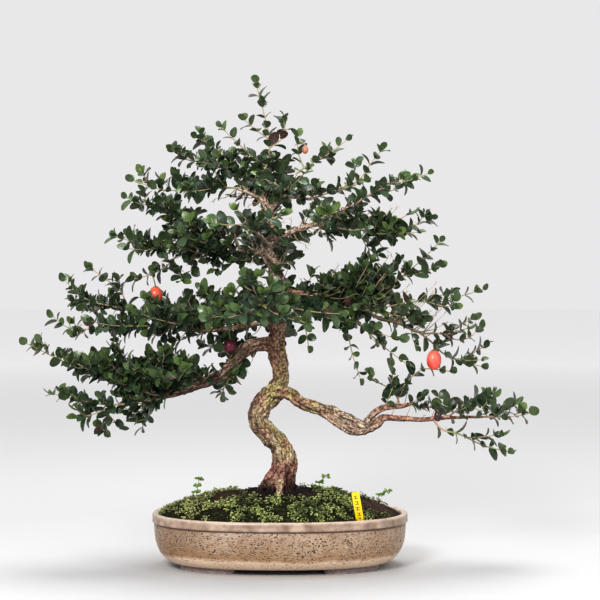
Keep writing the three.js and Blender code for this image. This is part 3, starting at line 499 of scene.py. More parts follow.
def cords(route, count, spread, thick, twist, phase):
    """Lines that wind round a route, as the grown cords of old wood do."""
    lines = [[] for _ in range(count)]
    for walk, heading, side in framed(route, cord_walks(route)):
        other = heading.cross(side)
        radius = route.radius(walk)
        for number, line in enumerate(lines):
            turn = 2 * math.pi * number / count + twist * walk + phase
            turn += 0.9 * rough(number * 3.7, walk * 28, phase)
            away = radius * spread * (1 + 0.22 * rough(walk * 45, number * 5.1, phase))
            swell = 1 + 0.34 * rough(walk * 60, 9.4 + number * 2.3, phase)
            place = route.at(walk) + mm * away * (math.cos(turn) * side + math.sin(turn) * other)
            line.append((place, radius * thick * swell))
    return lines


trunk_route = Route(trunk_line)
limb_routes = {name: Route(line) for name, line in limb_lines.items()}
routes = {"trunk": trunk_route, **limb_routes}
wood_lines = [core(trunk_route, 0.74), *cords(trunk_route, 7, 0.70, 0.35, twist=9.0, phase=0.4)]
for number, (name, route) in enumerate(limb_routes.items()):
    stout = 1.18 if name == "leftLow" else 1
    if name in old_limbs:
        wood_lines.append(core(route, 0.62 * stout))
        wood_lines += cords(route, 5, 0.70 * stout, 0.38 * stout, twist=14.0, phase=number)
    else:
        wood_lines += [core(route, 0.94), *cords(route, 3, 0.4, 0.6, twist=14.0, phase=number)]
for number, degrees in enumerate(root_turns):
    main = number % 2 == 0
    angle = math.radians(degrees)
    reach = (44 + 6 * math.sin(angle)) * (1 if main else 0.82)
    root = Route([[-4 + share * reach * math.cos(angle + 0.25 * (1 - share)),
                   share * reach * math.sin(angle + 0.25 * (1 - share)), z, r * (1 if main else 0.6)]
                  for share, z, r in root_line])
    wood_lines.append(core(root, 0.9))
wood_lines.append(core(Route(front_root), 1))

wood_mesh = shaped_by(tubes("wood", wood_lines), "REMESH", mode="VOXEL", voxel_size=wood_voxel)
spots = []
for number, route in enumerate(routes.values()):
    steps = [bark_step * k for k in range(int(route.length / bark_step) + 1)]
    for walk, heading, side in framed(route, steps):
        spots.append((route.at(walk), heading, side, walk + number, route.radius(walk)))
nearby = KDTree(len(spots))
for k, spot in enumerate(spots):
    nearby.insert(spot[0], k)
nearby.balance()
count = len(wood_mesh.vertices)
places = np.empty(count * 3, np.float32)
wood_mesh.vertices.foreach_get("co", places)
places = places.reshape(-1, 3)
outwards = np.array([v.normal for v in wood_mesh.vertices])
relief = np.zeros(count, np.float32)
crack_colour_and_shade = np.zeros(count, np.float32)
runs = np.zeros((count, 3), np.float32)


def hollow(point, x, half, low, high):
    """How deep the clefts beside the front root are, from 0 to 1; in the bark paint their darkness is painted
    shade.
    """
    if point.y > 0 or not low - 0.01 < point.z < high + 0.01:
        return 0
    ends = min(1, (point.z - low + 0.01) / 0.012, (high + 0.01 - point.z) / 0.018)
    return max(0, 1 - (abs(point.x - x) / half) ** 2) * ends


for k, point in enumerate(places):
    point = Vector(point)
    middle, heading, side, walk, radius = spots[nearby.find(point)[1]]
    offset = point - middle
    run = Vector((offset.dot(side), offset.dot(heading.cross(side)), walk + offset.dot(heading)))
    runs[k] = run
    crack = max(0, 1 - abs(rough(run.x / 0.007, run.y / 0.007, run.z / 0.024)) / 0.17)
    split = max(0, 1 - abs(rough(run.x / 0.0036, run.y / 0.0036, run.z / 0.009 + 40)) / 0.2)
    lump = noise.fractal(point / 0.011, 1.0, 2.0, 4)
    cleft = hollow(point, 0.0145, 0.005, 0.128, 0.172) + hollow(point, -0.021, 0.008, 0.110, 0.143)
    worn = lump_high * lump - crack_deep * crack - split_deep * split
    relief[k] = min(1, radius / bark_full) * worn - cleft_deep * cleft
    # How dark the bark is painted here: partly the darker inner bark of the fissures, partly painted shade in
    # them and in the clefts.
    crack_colour_and_shade[k] = min(1, max(1.4 * cleft, crack + 0.5 * split))
places += outwards * (relief * mm)[:, None]
wood_mesh.vertices.foreach_set("co", places.reshape(-1))
wood_mesh.attributes.new("bark_crack_and_shade", "FLOAT", "POINT").data.foreach_set("value", crack_colour_and_shade)
wood_mesh.attributes.new("bark_run", "FLOAT_VECTOR", "POINT").data.foreach_set("vector", runs.reshape(-1))

bark = Paint("old_bark", 0.82, 0.25)
x, height = bark.axis("X"), bark.axis("Z")
z = bark.plus(height, bark.times(bark.plus(bark.grain(0.02, 3), -0.5), 0.06))
along_run = bark.node("Mapping", in_Vector=bark.attribute("bark_run", "Vector"), in_Scale=(1, 1, 0.5))
flake = bark.level(bark.grain(0.0029, 5, along_run, 0.66), 0.43, 0.57)
fine = bark.level(bark.grain(0.0024, 3, bark.place, 0.6), 0.46, 0.56)
shade = bark.plus(bark.times(flake, 0.42), bark.times(fine, 0.58))
tan = bark.mix(shade, (0.125, 0.068, 0.036), (0.72, 0.58, 0.40))
lichen = bark.mix(shade, (0.10, 0.072, 0.024), (0.62, 0.53, 0.25))
rust = bark.mix(shade, (0.050, 0.014, 0.011), (0.52, 0.27, 0.21))
ruddy = bark.mix(shade, (0.11, 0.040, 0.024), (0.60, 0.37, 0.27))
young = bark.mix(shade, (0.27, 0.165, 0.125), (0.86, 0.70, 0.57))
dusky = bark.mix(shade, (0.040, 0.022, 0.019), (0.25, 0.145, 0.115))
pinkish = bark.mix(shade, (0.105, 0.055, 0.040), (0.76, 0.61, 0.48))
patches = bark.blotches(0.020, 3, 0.42, 0.58)
lower = bark.mix(bark.math("MAXIMUM", patches, bark.level(x, 0.035, 0.085, 0, 0.85)), lichen, tan)
lower = bark.mix(bark.blotches(0.015, 4, 0.51, 0.59, 0.7), lower, ruddy)
lower = bark.mix(bark.level(x, 0.070, 0.115, 0, 0.8), lower, pinkish)
bark.color = lower
bark.coat(bark.level(z, 0.194, 0.180), bark.mix(bark.blotches(0.009, 3, 0.60, 0.68), rust, tan))
middle = bark.times(bark.level(z, 0.315, 0.345), bark.level(bark.math("ABSOLUTE", x), 0.075, 0.05))
bark.coat(middle, bark.mix(bark.level(x, -0.012, 0.012), ruddy, lower))
bark.coat(bark.level(z, 0.39, 0.43), bark.mix(bark.level(patches, 0.3, 0.8), ruddy, young))
bark.coat(bark.level(z, 0.515, 0.55), young)
left_side = bark.times(bark.level(x, -0.02, -0.06), bark.level(z, 0.41, 0.385))
bark.coat(left_side, bark.mix(bark.times(patches, 0.5), dusky, tan))
bark.coat(bark.times(bark.level(x, 0.150, 0.185), bark.level(z, 0.33, 0.30)), ruddy)
# Partly painted shade: the fissures are darkened for their darker inner bark and for the shade in them, and
# the clefts beside the front root for shade alone.
bark.coat(bark.level(bark.attribute("bark_crack_and_shade"), 0.30, 1.0, 0, 0.72), (0.045, 0.026, 0.017))
# Painted shade: faces that point down are darkened.
facing = bark.node("SeparateXYZ", "Z", in_Vector=bark.node("NewGeometry", "Normal"))
bark.coat(bark.level(facing, 0.0, -0.75, 0, 0.72), (0.05, 0.028, 0.022))
on_front_root = bark.times(bark.level(bark.math("ABSOLUTE", bark.plus(x, 0.001)), 0.009, 0.005),
                           bark.level(height, 0.166, 0.152))
bark.coat(bark.times(on_front_root, 0.85), tan)
near_soil = bark.math("SUBTRACT", bark.level(height, 0.157, 0.137), on_front_root)
bark.coat(bark.level(near_soil, 0, 1, 0, 0.85), (0.016, 0.010, 0.010))
rasp = bark.plus(bark.grain(0.0013, 4, along_run), bark.times(bark.grain(0.004, 5, along_run), 2.0))
settle("trunk_and_limbs", wood_mesh, [bark.wear(rasp, 0.0016)], "bark", "trunk", smooth=0)

# The ground: dark potting soil in a low mound up to the roots, mostly under a mat of tiny round
# green leaves and moss, with bare brown patches round the trunk and at the right.
soil_edge, soil_peak, soil_inset = 89, 135, 15.2
bare_patches = [(-4, -8, 60), (-92, -34, 28), (165, -35, 34), (190, 10, 26), (52, -40, 24), (-60, 40, 30),
                (120, -96, 10), (-118, 6, 18)]
soil_profile = [(24, 40), (soil_inset, 88.5)] + [(1 - k / 34, None) for k in range(34)]
tuft_count, tuft_leaves, full_turn = 335, 28, 6.283
mat_long, mat_deep, mat_gap = 210, 138, -0.06
label_dip, dip_deep, dip_wide = (128, -102), 8, 30
sky = Vector((0, 0, 1))


def ground(x, y):
    """Height of the mound in mm."""
    spread = min(1, math.hypot(x / (pot_length / 2 - 12), y / (pot_depth / 2 - 12)))
    lumps = 2.2 * math.sin(x * 0.07 + 1) * math.cos(y * 0.09) + 1.3 * math.sin(x * 0.19 + y * 0.16)
    dip = dip_deep * math.exp(-(math.dist((x, y), label_dip) / dip_wide) ** 2)
    return soil_edge + (soil_peak - soil_edge) * (1 - spread ** 2) ** 0.75 + lumps * (1 - spread ** 4) - dip


def cover(x, y):
    """How green the ground is, from 0 to 1."""
    nearest = min(math.hypot(x - px, y - py) - r for px, py, r in bare_patches)
    nearest += 14 * rough(x / 22, y / 22, 4.0)
    return min(1.0, max(0.0, nearest / 10 + 0.4))


def soil_point(pair, turn):
    """A point of the soil: the wall in the pot goes by height, the top by its share of the way out."""
    if pair[1] is not None:
        return oval_point(pair[0], turn, pair[1])
    edge = oval_point(soil_inset, turn, 0) * pair[0]
    x, y = edge.x / mm, edge.y / mm
    crumb = 1.6 * noise.fractal(Vector((x / 7, y / 7, 0)), 1.0, 2.0, 3) * min(1, (1 - pair[0]) * 20)
    return Vector((edge.x, edge.y, (ground(x, y) + crumb - 0.6) * mm))


soil = Paint("potting_soil", 0.95, 0.15)
soil.color = soil.mix(soil.blotches(0.003, 4, 0.35, 0.7), (0.022, 0.013, 0.009), (0.085, 0.05, 0.036))
soil.coat(soil.level(soil.cells(0.0042), 0.3, 0.15), (0.21, 0.125, 0.11))
moss = soil.mix(soil.blotches(0.004, 3, 0.45, 0.7), (0.007, 0.009, 0.004), (0.048, 0.058, 0.017))
soil.coat(soil.times(soil.attribute("ground_green"), 0.9), moss)
from_trunk = soil.far_from_middle(soil.stretched((1, 1, 0)))
soil.coat(soil.level(from_trunk, 0.100, 0.055, 0, 0.85), (0.012, 0.009, 0.010))
soil_mesh = mesh_of(oval_shell(150, soil_profile, soil_point), "soil_mound")
greens = [cover(v.co.x / mm, v.co.y / mm) for v in soil_mesh.vertices]
soil_mesh.attributes.new("ground_green", "FLOAT", "POINT").data.foreach_set("value", greens)
settle("soil_mound", soil_mesh, [soil.wear(soil.grain(0.0025, 4), 0.0016)], "soil", "soil", smooth=0)


def stamped(shape, template, matrix, **looks):
    """Adds a turned and placed copy of a template mesh to a bmesh, with its face attributes set."""
    copy = template.copy()
    copy.transform(matrix)
    for name, value in looks.items():
        layer = copy.attributes[name].data
        layer.foreach_set("value", [value] * len(layer))
    shape.from_mesh(copy)
    bpy.data.meshes.remove(copy)


def draw(first, second):
    """An even scatter from 0 to 1 that depends only on the two counts."""
    value = math.sin(first * 127.1 + second * 311.7 + 7.3) * 43758.5453
    return value - math.floor(value)


def tuft(seed):
    """A tuft of tiny round leaves, some standing above the others."""
    shape = bmesh.new()
    tone = shape.faces.layers.float.new("leaf_tone")
    for k in range(tuft_leaves):
        away = 9 * math.sqrt(draw(seed, k))
        turn = full_turn * draw(seed + 1, k)
        tall = 1.2 + 5.5 * draw(seed + 2, k) ** 2
        size = (1.25 + 1.1 * draw(seed + 3, k)) * mm
        place = Matrix.Translation((away * mm * math.cos(turn), away * mm * math.sin(turn), tall * mm))
        lean = Matrix.Rotation(0.9 * (draw(seed + 4, k) - 0.5), 4, "X")
        lean = lean @ Matrix.Rotation(0.9 * (draw(seed + 5, k) - 0.5), 4, "Y")
        flat = place @ lean @ Matrix.Diagonal((size, size, size * 0.35, 1))
        round_leaf = bmesh.ops.create_icosphere(shape, subdivisions=1, radius=1, matrix=flat)
        shade = draw(seed + 6, k) ** 1.5
        for face in {f for v in round_leaf["verts"] for f in v.link_faces}:
            face[tone] = shade
    return mesh_of(shape, "tuft")


tufts = [tuft(31 * k) for k in range(4)]
mat_shape = bmesh.new()
mat_shape.faces.layers.float.new("leaf_tone")
planted, k = 0, 0
while planted < tuft_count:
    x, y = (2 * draw(k, 801) - 1) * mat_long, (2 * draw(k, 802) - 1) * mat_deep
    inside = math.hypot(x / (mat_long - 3), y / (mat_deep - 4)) <= 1 and rough(x / 13, y / 13, 9) >= mat_gap
    if inside and cover(x, y) >= 0.35 + 0.5 * draw(k, 803):
        slope = Vector((ground(x - 3, y) - ground(x + 3, y), ground(x, y - 3) - ground(x, y + 3), 6))
        place = Matrix.Translation((x * mm, y * mm, (ground(x, y) - 0.5) * mm))
        turn = sky.rotation_difference(slope.normalized()).to_matrix().to_4x4()
        turn = turn @ Matrix.Rotation(full_turn * draw(k, 805), 4, "Z")
        stamped(mat_shape, tufts[k % 4], place @ turn @ Matrix.Scale(0.75 + 0.5 * draw(k, 804), 4))
        planted += 1
    k += 1
mat = Paint("ground_leaves", 0.5, 0.35)
tone = mat.attribute("leaf_tone")
mat.color = mat.mix(tone, (0.020, 0.040, 0.010), (0.54, 0.60, 0.21))
mat.coat(mat.blotches(0.028, 3, 0.46, 0.58, 0.72), (0.020, 0.034, 0.012))
left_part = mat.level(mat.axis("X"), -0.05, -0.13, 0, 0.45)
mat.coat(mat.times(left_part, mat.level(tone, 0.1, 0.6)), (0.60, 0.58, 0.26))
settle("ground_cover", mat_shape, [mat.wear(mat.grain(0.002, 2), 0.0003)], "weed_leaf", smooth=0)

# The leafy stems: green and brown shoots in bunches that leave a limb together, with glossy leathery
# round-oval leaves in pairs, each ending in a tiny point, and forked thorns between them. A bunch has
# how full it grows, its limb and its stems: each a foot and the points on to the tip. The foot counts
# steps along the limb, or for all stems but the first along that one.
foot_steps = 90
bunches = {
    "low_left_tip": (0.9, "leftLow",
        [89, [-331, -32, 343], [-381, -26, 362], [-420, -22, 381], [-441, -20, 391]],
        [13, [-318, -8, 352], [-345, 14, 366]],
        [18, [-338, -58, 352], [-366, -72, 372]]),
    "low_left_under": (0.7, "leftLowFork",
        [87, [-300, -62, 288], [-348, -60, 296], [-392, -55, 306]],
        [17, [-316, -84, 274], [-346, -92, 268]],
        [21, [-300, -40, 264], [-304, -34, 240]]),
    "low_left_drop": (0.9, "leftLow",
        [68, [-215, -24, 284], [-232, -16, 266], [-240, -12, 244]],
        [43, [-250, 2, 270], [-275, 14, 268]]),
    "low_left_front": (0.8, "leftLow",
        [63, [-203, -54, 324], [-228, -72, 340], [-254, -88, 352]],
        [20, [-196, -84, 334], [-205, -112, 342]],
        [3, [-170, -72, 336], [-158, -106, 354]]),
    "low_left_back": (0.9, "leftLow",
        [52, [-165, 6, 326], [-190, 46, 336], [-218, 84, 346]],
        [36, [-210, 22, 340], [-246, 26, 352]],
        [52, [-172, 78, 330], [-160, 106, 330]]),
    "low_left_dark": (0.9, "leftLow",
        [27, [-92, 10, 372], [-110, 32, 380], [-134, 50, 386]],
        [37, [-82, 44, 378], [-70, 70, 380]]),
    "mid_left_tip": (0.5, "leftMid",
        [90, [-290, -8, 455], [-330, -6, 464], [-358, -4, 482], [-376, -2, 500]],
        [13, [-282, 12, 484], [-308, 16, 503], [-331, 18, 520]],
        [36, [-336, 16, 460], [-368, 34, 464]]),
    "mid_left_low": (0.45, "leftMid",
        [72, [-250, -24, 422], [-310, -30, 417], [-366, -30, 419], [-394, -28, 438]],
        [30, [-290, -58, 424], [-322, -80, 432]],
        [20, [-262, 8, 412], [-290, 32, 408]]),
    "mid_left_front": (0.9, "leftMid",
        [55, [-172, -46, 424], [-204, -80, 434], [-236, -104, 446]],
        [22, [-196, -50, 448], [-226, -56, 470]]),
    "mid_left_back": (0.5, "leftMid",
        [45, [-134, 24, 424], [-160, 66, 438], [-192, 102, 452]],
        [37, [-182, 44, 448], [-222, 50, 466]],
        [47, [-130, 92, 440], [-122, 124, 446]]),
    "mid_left_inner": (0.9, "leftMid",
        [27, [-84, -30, 440], [-108, -44, 462], [-134, -54, 486]],
        [37, [-92, -72, 452], [-104, -104, 460]]),
    "up_left_tip": (0.3, "leftUp",
        [70, [-190, 20, 560], [-238, 22, 562], [-289, 20, 578]],
        [32, [-232, 44, 568], [-262, 62, 580]],
        [35, [-234, -10, 554], [-262, -32, 556]]),
    "up_left_low": (0.4, "leftUp",
        [90, [-203, 14, 523], [-230, 8, 510], [-256, 2, 502]],
        [12, [-176, -12, 514], [-168, -34, 500]]),
    "up_left_front": (0.5, "leftUp",
        [39, [-112, -26, 560], [-142, -60, 570], [-174, -86, 580]],
        [17, [-136, -24, 578], [-166, -34, 598]]),
    "up_left_back": (0.2, "leftUp",
        [56, [-138, 48, 564], [-164, 84, 578], [-190, 110, 590]],
        [17, [-104, 70, 566], [-86, 100, 576]]),
    "up_left_rise": (1.5, "leftUp",
        [31, [-110, 12, 578], [-165, 18, 602], [-215, 18, 624], [-269, 14, 646]],
        [32, [-170, 44, 616], [-198, 64, 636]]),
    "top_left_tip": (0.9, "topLeft",
        [88, [-106, -20, 662], [-149, -20, 660], [-200, -18, 658], [-254, -16, 674]],
        [22, [-148, 10, 672], [-180, 30, 684]],
        [17, [-138, -54, 656], [-166, -76, 654]]),
    "top_left_rise": (0.9, "topLeft",
        [52, [-80, -6, 684], [-121, 2, 704], [-163, 6, 712], [-189, 8, 729]],
        [30, [-112, -34, 700], [-132, -58, 706]],
        [22, [-98, 14, 714], [-120, 24, 736], [-147, 28, 752]]),
    "apex": (0.2, "trunk",
        [90, [-22, -2, 710], [-18, 0, 745], [-28, 0, 792], [-42, 0, 845]],
        [31, [6, 4, 752], [8, 6, 782]],
        [39, [-42, 14, 764], [-62, 24, 782]],
        [15, [-48, -22, 716], [-70, -34, 736], [-101, -38, 766]]),
    "apex_back": (0.9, "trunk",
        [87, [-14, 26, 678], [4, 50, 700], [16, 72, 718]],
        [49, [-34, 58, 708], [-54, 78, 722]]),
    "top_right_rise": (0.2, "crown",
        [90, [49, 4, 702], [85, 6, 722], [117, 8, 746]],
        [13, [32, 12, 724], [30, 18, 752]],
        [34, [76, 32, 716], [94, 54, 726]]),
    "top_right_low": (0.1, "topRight",
        [89, [103, -20, 660], [136, -24, 674], [158, -26, 704], [176, -26, 727]],
        [36, [128, 4, 684], [134, 22, 704]],
        [23, [116, -48, 662], [146, -66, 672]]),
    "top_right_front": (0.1, "topRight",
        [45, [20, -46, 662], [34, -80, 676], [48, -106, 690]],
        [22, [-10, -62, 668], [-34, -82, 680]]),
    "up_right_long": (0.12, "rightUpFork",
        [89, [156, -46, 650], [192, -50, 667], [224, -53, 674], [255, -54, 685]],
        [16, [178, -24, 652], [208, -8, 662]],
        [27, [184, -76, 664], [206, -98, 676]]),
    "up_right_tip": (0.12, "rightUp",
        [90, [200, -34, 592], [235, -34, 597], [264, -34, 608]],
        [11, [204, -10, 604], [226, 8, 618]],
        [19, [214, -58, 584], [236, -76, 584]]),
    "up_right_front": (0.12, "rightUp",
        [53, [100, -58, 592], [122, -92, 588], [146, -118, 590]],
        [19, [84, -84, 606], [80, -112, 618]]),
    "up_right_back": (0.12, "rightUp",
        [48, [90, 8, 606], [116, 46, 618], [140, 82, 630]],
        [32, [128, 24, 606], [164, 34, 610]],
        [39, [80, 62, 622], [72, 92, 636]]),
    "mid_right_rise": (0.12, "rightMid",
        [45, [178, -4, 480], [206, 0, 502], [241, 2, 530], [280, 4, 568]],
        [30, [196, 26, 512], [210, 48, 536]],
        [47, [244, -22, 514], [276, -40, 526]],
        [16, [168, -36, 494], [184, -56, 516]]),
    "mid_right_long": (0.05, "rightMid",
        [66, [229, -10, 462], [292, -8, 469], [332, -8, 478], [354, -8, 486]],
        [32, [270, 20, 470], [304, 40, 480]],
        [38, [276, -36, 458], [302, -56, 456]]),
    "mid_right_low": (0.05, "rightMid",
        [90, [280, -20, 408], [306, -24, 398], [330, -26, 402], [348, -28, 420]],
        [33, [312, 4, 420], [338, 22, 432]],
        [29, [302, -52, 412], [322, -74, 420]]),
    "mid_right_tip": (0.05, "rightMid",
        [86, [266, -8, 392], [284, -4, 374], [308, -4, 362], [352, -4, 350]],
        [61, [338, 14, 372], [364, 28, 386]],
        [53, [322, -30, 362], [348, -48, 364]]),
    "mid_right_front": (0.1, "rightMid",
        [51, [162, -50, 452], [188, -86, 458], [216, -112, 466]],
        [36, [206, -66, 440], [238, -74, 430]]),
    "mid_right_back": (0.15, "rightMid",
        [34, [118, 24, 486], [146, 62, 500], [176, 94, 512]],
        [38, [162, 42, 486], [198, 52, 488]]),
    "mid_right_arch": (0.1, "rightMid",
        [28, [124, -26, 440], [171, -34, 394], [196, -36, 374], [219, -37, 357]],
        [18, [120, -34, 400], [128, -38, 366], [140, -42, 330]],
        [39, [172, -58, 410], [204, -78, 402]]),
    "low_right_tip": (0.4, "rightLow",
        [90, [390, -8, 262], [418, -6, 264], [437, -4, 268]],
        [17, [392, 16, 270], [414, 34, 282]],
        [6, [354, -34, 282], [368, -50, 300]]),
    "low_right_under": (0.1, "rightLow",
        [69, [282, -32, 242], [312, -36, 234], [355, -36, 214], [396, -36, 204]],
        [44, [350, -62, 232], [378, -80, 238]]),
    "low_right_back": (0.3, "rightLow",
        [75, [312, 14, 272], [338, 46, 284], [366, 72, 292]],
        [18, [290, 34, 280], [282, 64, 292]]),
    "low_right_twigs": (0.05, "rightStrand",
        [70, [200, -6, 318], [194, -2, 350]],
        [26, [226, -14, 328], [252, -14, 346], [296, -12, 342]],
        [36, [172, -10, 322], [158, -12, 334]]),
    "front_low": (0.9, "front",
        [89, [-22, -169, 458], [6, -180, 444], [44, -186, 434]],
        [11, [-52, -178, 450], [-84, -186, 442]],
        [4, [-42, -175, 490], [-50, -189, 512]]),
    "front_left": (0.15, "front",
        [37, [-46, -87, 452], [-84, -109, 444], [-116, -129, 440]],
        [19, [-66, -67, 440], [-98, -58, 426]]),
    "front_right": (0.1, "front",
        [24, [28, -67, 454], [66, -98, 448], [104, -122, 446]],
        [22, [42, -53, 424], [50, -56, 388]],
        [34, [74, -64, 440], [112, -67, 430]]),
    "front_top": (0.1, "topFront",
        [88, [-56, -135, 606], [-70, -153, 622]],
        [22, [-84, -133, 596], [-112, -142, 600]],
        [12, [-20, -147, 604], [6, -164, 614]]),
    "back_low": (0.9, "backLow",
        [89, [-118, 175, 454], [-140, 190, 466]],
        [16, [-76, 184, 452], [-52, 197, 460]],
        [30, [-146, 168, 448], [-174, 163, 446]]),
    "back_right": (0.4, "backRight",
        [89, [140, 165, 476], [166, 180, 486]],
        [19, [104, 177, 484], [90, 196, 496]],
        [11, [160, 148, 462], [194, 143, 458]]),
    "back_up": (0.9, "backUp",
        [90, [-24, 158, 570], [-38, 175, 586]],
        [17, [16, 165, 568], [44, 177, 576]],
        [5, [-52, 150, 554], [-88, 155, 556]]),
    "top_back": (0.9, "topBack",
        [89, [6, 120, 660], [14, 142, 678]],
        [18, [38, 122, 652], [70, 134, 658]],
        [32, [-34, 132, 658], [-64, 146, 664]]),
}
leaf_long, pair_gap, gap_more = 23 * mm, 10.2, 5.3
fallen, browned, thorny, forked = 0.05, 0.02, 0.22, 0.85
crown_middle, crown_slack = 0.40, 0.012


def leaf_blade(name, wide, fullest, fold, droop):
    """A leaf one unit long: a grid drawn in to an oval with a tiny point, folded and thickened."""
    shape = bmesh.new()
    shape.loops.layers.uv.new("leaf_map")
    under = shape.faces.layers.float.new("leaf_under")
    shape.faces.layers.float.new("leaf_tone")
    shape.faces.layers.float.new("leaf_youth")
    bmesh.ops.create_grid(shape, x_segments=2, y_segments=6, size=0.5, calc_uvs=True)
    for v in shape.verts:
        across, along = v.co.x * 2, 0.5 - 0.5 * math.cos(math.pi * (v.co.y + 0.5))
        half = wide / 2 * math.sin(math.pi * along ** fullest) ** 0.5 if 0 < along < 1 else 0
        point = 1.025 if along == 1 else along
        rise = fold * abs(across) * half + 0.07 * math.sin(math.pi * along) - droop * along ** 2
        v.co = (across * half, point, rise)
    bmesh.ops.remove_doubles(shape, verts=shape.verts, dist=1e-4)
    top = list(shape.faces)
    bmesh.ops.recalc_face_normals(shape, faces=top)
    if sum(f.normal.z for f in top) < 0:
        bmesh.ops.reverse_faces(shape, faces=top)
    bmesh.ops.solidify(shape, geom=top, thickness=0.032)
    for face in shape.faces:
        face[under] = 1.0 if face.normal.z < -0.3 else 0.0
    return mesh_of(shape, name)


blades = [leaf_blade("round_leaf", 0.84, 1.0, 0.16, 0.04), leaf_blade("oval_leaf", 0.62, 1.05, 0.24, 0.10),
          leaf_blade("broad_leaf", 0.74, 0.88, 0.10, 0.13), leaf_blade("cupped_leaf", 0.70, 1.1, 0.34, -0.04)]


def basis(along, face):
    """A turn whose Y axis is along and whose Z axis leans to face."""
    side = along.cross(face)
    if side.length < 1e-4:
        side = along.orthogonal()
    side.normalize()
    return Matrix((side, along, side.cross(along))).transposed().to_4x4()


def room_for(point):
    """True where a leaf stays within the crown's measured spread."""
    return all(low - crown_slack < value < high + crown_slack for value, low, high in zip(point, *cad_box))


def outward(point):
    """Away from the middle of the tree, where the light comes from."""
    return Vector((point.x, point.y * 1.6, (point.z - crown_middle) * 0.35)).normalized()


def scatter(seed, number, size):
    """A small steady push in any direction."""
    return Vector([draw(seed + 7 * k, number + 13 * k) - 0.5 for k in range(3)]) * size


def hang_leaf(shape, foot, along, face, size, tone, youth, kind):
    """One leaf with its foot in place, if its tip stays within the crown."""
    along = along.normalized()
    if room_for(foot + along * leaf_long * size):
        matrix = Matrix.Translation(foot) @ basis(along, face) @ Matrix.Scale(leaf_long * size, 4)
        stamped(shape, blades[kind], matrix, leaf_tone=tone, leaf_youth=youth)


def thorn(lines, foot, out, heading, long):
    """A spine that forks in two halfway."""
    fork = foot + out * long * 0.45
    lines.append([(foot, 0.75), (fork, 0.55)])
    for side in (-1, 1):
        tip = fork + (out * 0.8 + heading * 0.62 * side).normalized() * long * 0.6
        lines.append([(fork, 0.5), (tip, 0.08)])


def leaf_pair(shape, foot, heading, out, late, walk, seed, number, thick, youth):
    """The two leaves of one node, one out to each side. A few have fallen or turned brown."""
    for side in (-1, 1):
        luck = draw(seed * 3 + side, number + 131)
        if luck < fallen:
            continue
        away = out * side
        along = heading * (0.25 + 0.5 * luck) + away * 0.85 + sky * 0.15
        along += scatter(seed + side, number + 171, 0.5)
        face = outward(foot) * 0.75 + sky * 0.5 + heading * 0.25 - away * 0.2
        face += scatter(seed + side, number + 301, 1.3)
        size = 0.66 + 0.62 * draw(seed + side, number + 95) ** 1.4
        size *= (1 - 0.1 * late) * min(1, 0.6 + walk / 0.03)
        brown = draw(seed + side, number + 811) < browned
        shade = 2 if brown else draw(seed + 5 * side, number + 91)
        kind = int(len(blades) * draw(seed + side, number + 77))
        hang_leaf(shape, foot + away.normalized() * thick * 0.6 * mm, along, face, size, shade, youth, kind)


def leafy(shape, lines, route, thick, seed, bare, fullness):
    """A shoot with its leaves in pairs, its side twigs and its thorns."""
    lines.append(route.rod(max(3, int(route.length / 0.006)), thick, 0.7))
    walk, number = bare, 0
    while walk < route.length - 0.002:
        foot, heading = route.at(walk), route.heading(walk)
        level = heading.cross(sky)
        level = level.normalized() if level.length > 0.25 else Vector((1, 0.3, 0)).cross(heading).normalized()
        rise = level.cross(heading)
        late = walk / route.length
        turn = (0.2 if number % 2 else 1.2) + 0.9 * (draw(seed, number + 57) - 0.5)
        youth = max(0.0, late - 0.7) * 2.0 * draw(seed, number + 400)
        out = level * math.cos(turn) + rise * math.sin(turn)
        leaf_pair(shape, foot, heading, out, late, walk, seed, number, thick, youth)
        if draw(seed, number + 501) < thorny:
            out = (rise * 0.5 + level * (1 if draw(seed, number + 521) > 0.5 else -1)).normalized()
            thorn(lines, foot, out, heading, (9 + 6 * draw(seed, number + 531)) * mm)
        if late < 0.9 and draw(seed, number + 551) < forked * fullness:
            way = 1 if number % 2 else -1
            tilt = 1.7 * (draw(seed, number + 601) - 0.42)
            out = (level * way * math.cos(tilt) + rise * math.sin(tilt)).normalized()
            long = (17 + 27 * draw(seed, number + 611)) * mm * (1.1 - 0.5 * late) * (0.7 + 0.3 * fullness)
            bend = foot + (heading * 0.5 + out * 0.8).normalized() * long * 0.5
            onward = heading * 0.4 + out * 0.6 + sky * 0.35 + outward(foot) * 0.2
            tip = bend + onward.normalized() * long * 0.5
            if room_for(tip):
                twig = Route([p / mm for p in (foot, bend, tip)])
                leafy(shape, lines, twig, 0.95, seed + 17 * number + 3, 0.007, 0)
        walk += (pair_gap + gap_more * draw(seed, number + 11)) * mm * (1.35 if 0 < fullness < 0.3 else 1)
        number += 1
    tip, heading = route.at(route.length), route.heading(route.length)
    for side in (-1, 1):
        out = heading.cross(sky + Vector((0.01, 0.02, 0))).normalized() * side
        face = outward(tip) * 0.7 + sky * 0.4 + scatter(seed + side, 741, 0.9)
        size, youth = 0.58 + 0.34 * draw(seed + side, 701), 0.6 * draw(seed + side, 703)
        hang_leaf(shape, tip, heading * 0.8 + out * 0.6 + sky * 0.25, face, size, draw(seed, 702), youth,
                  int(len(blades) * draw(seed, 704)))


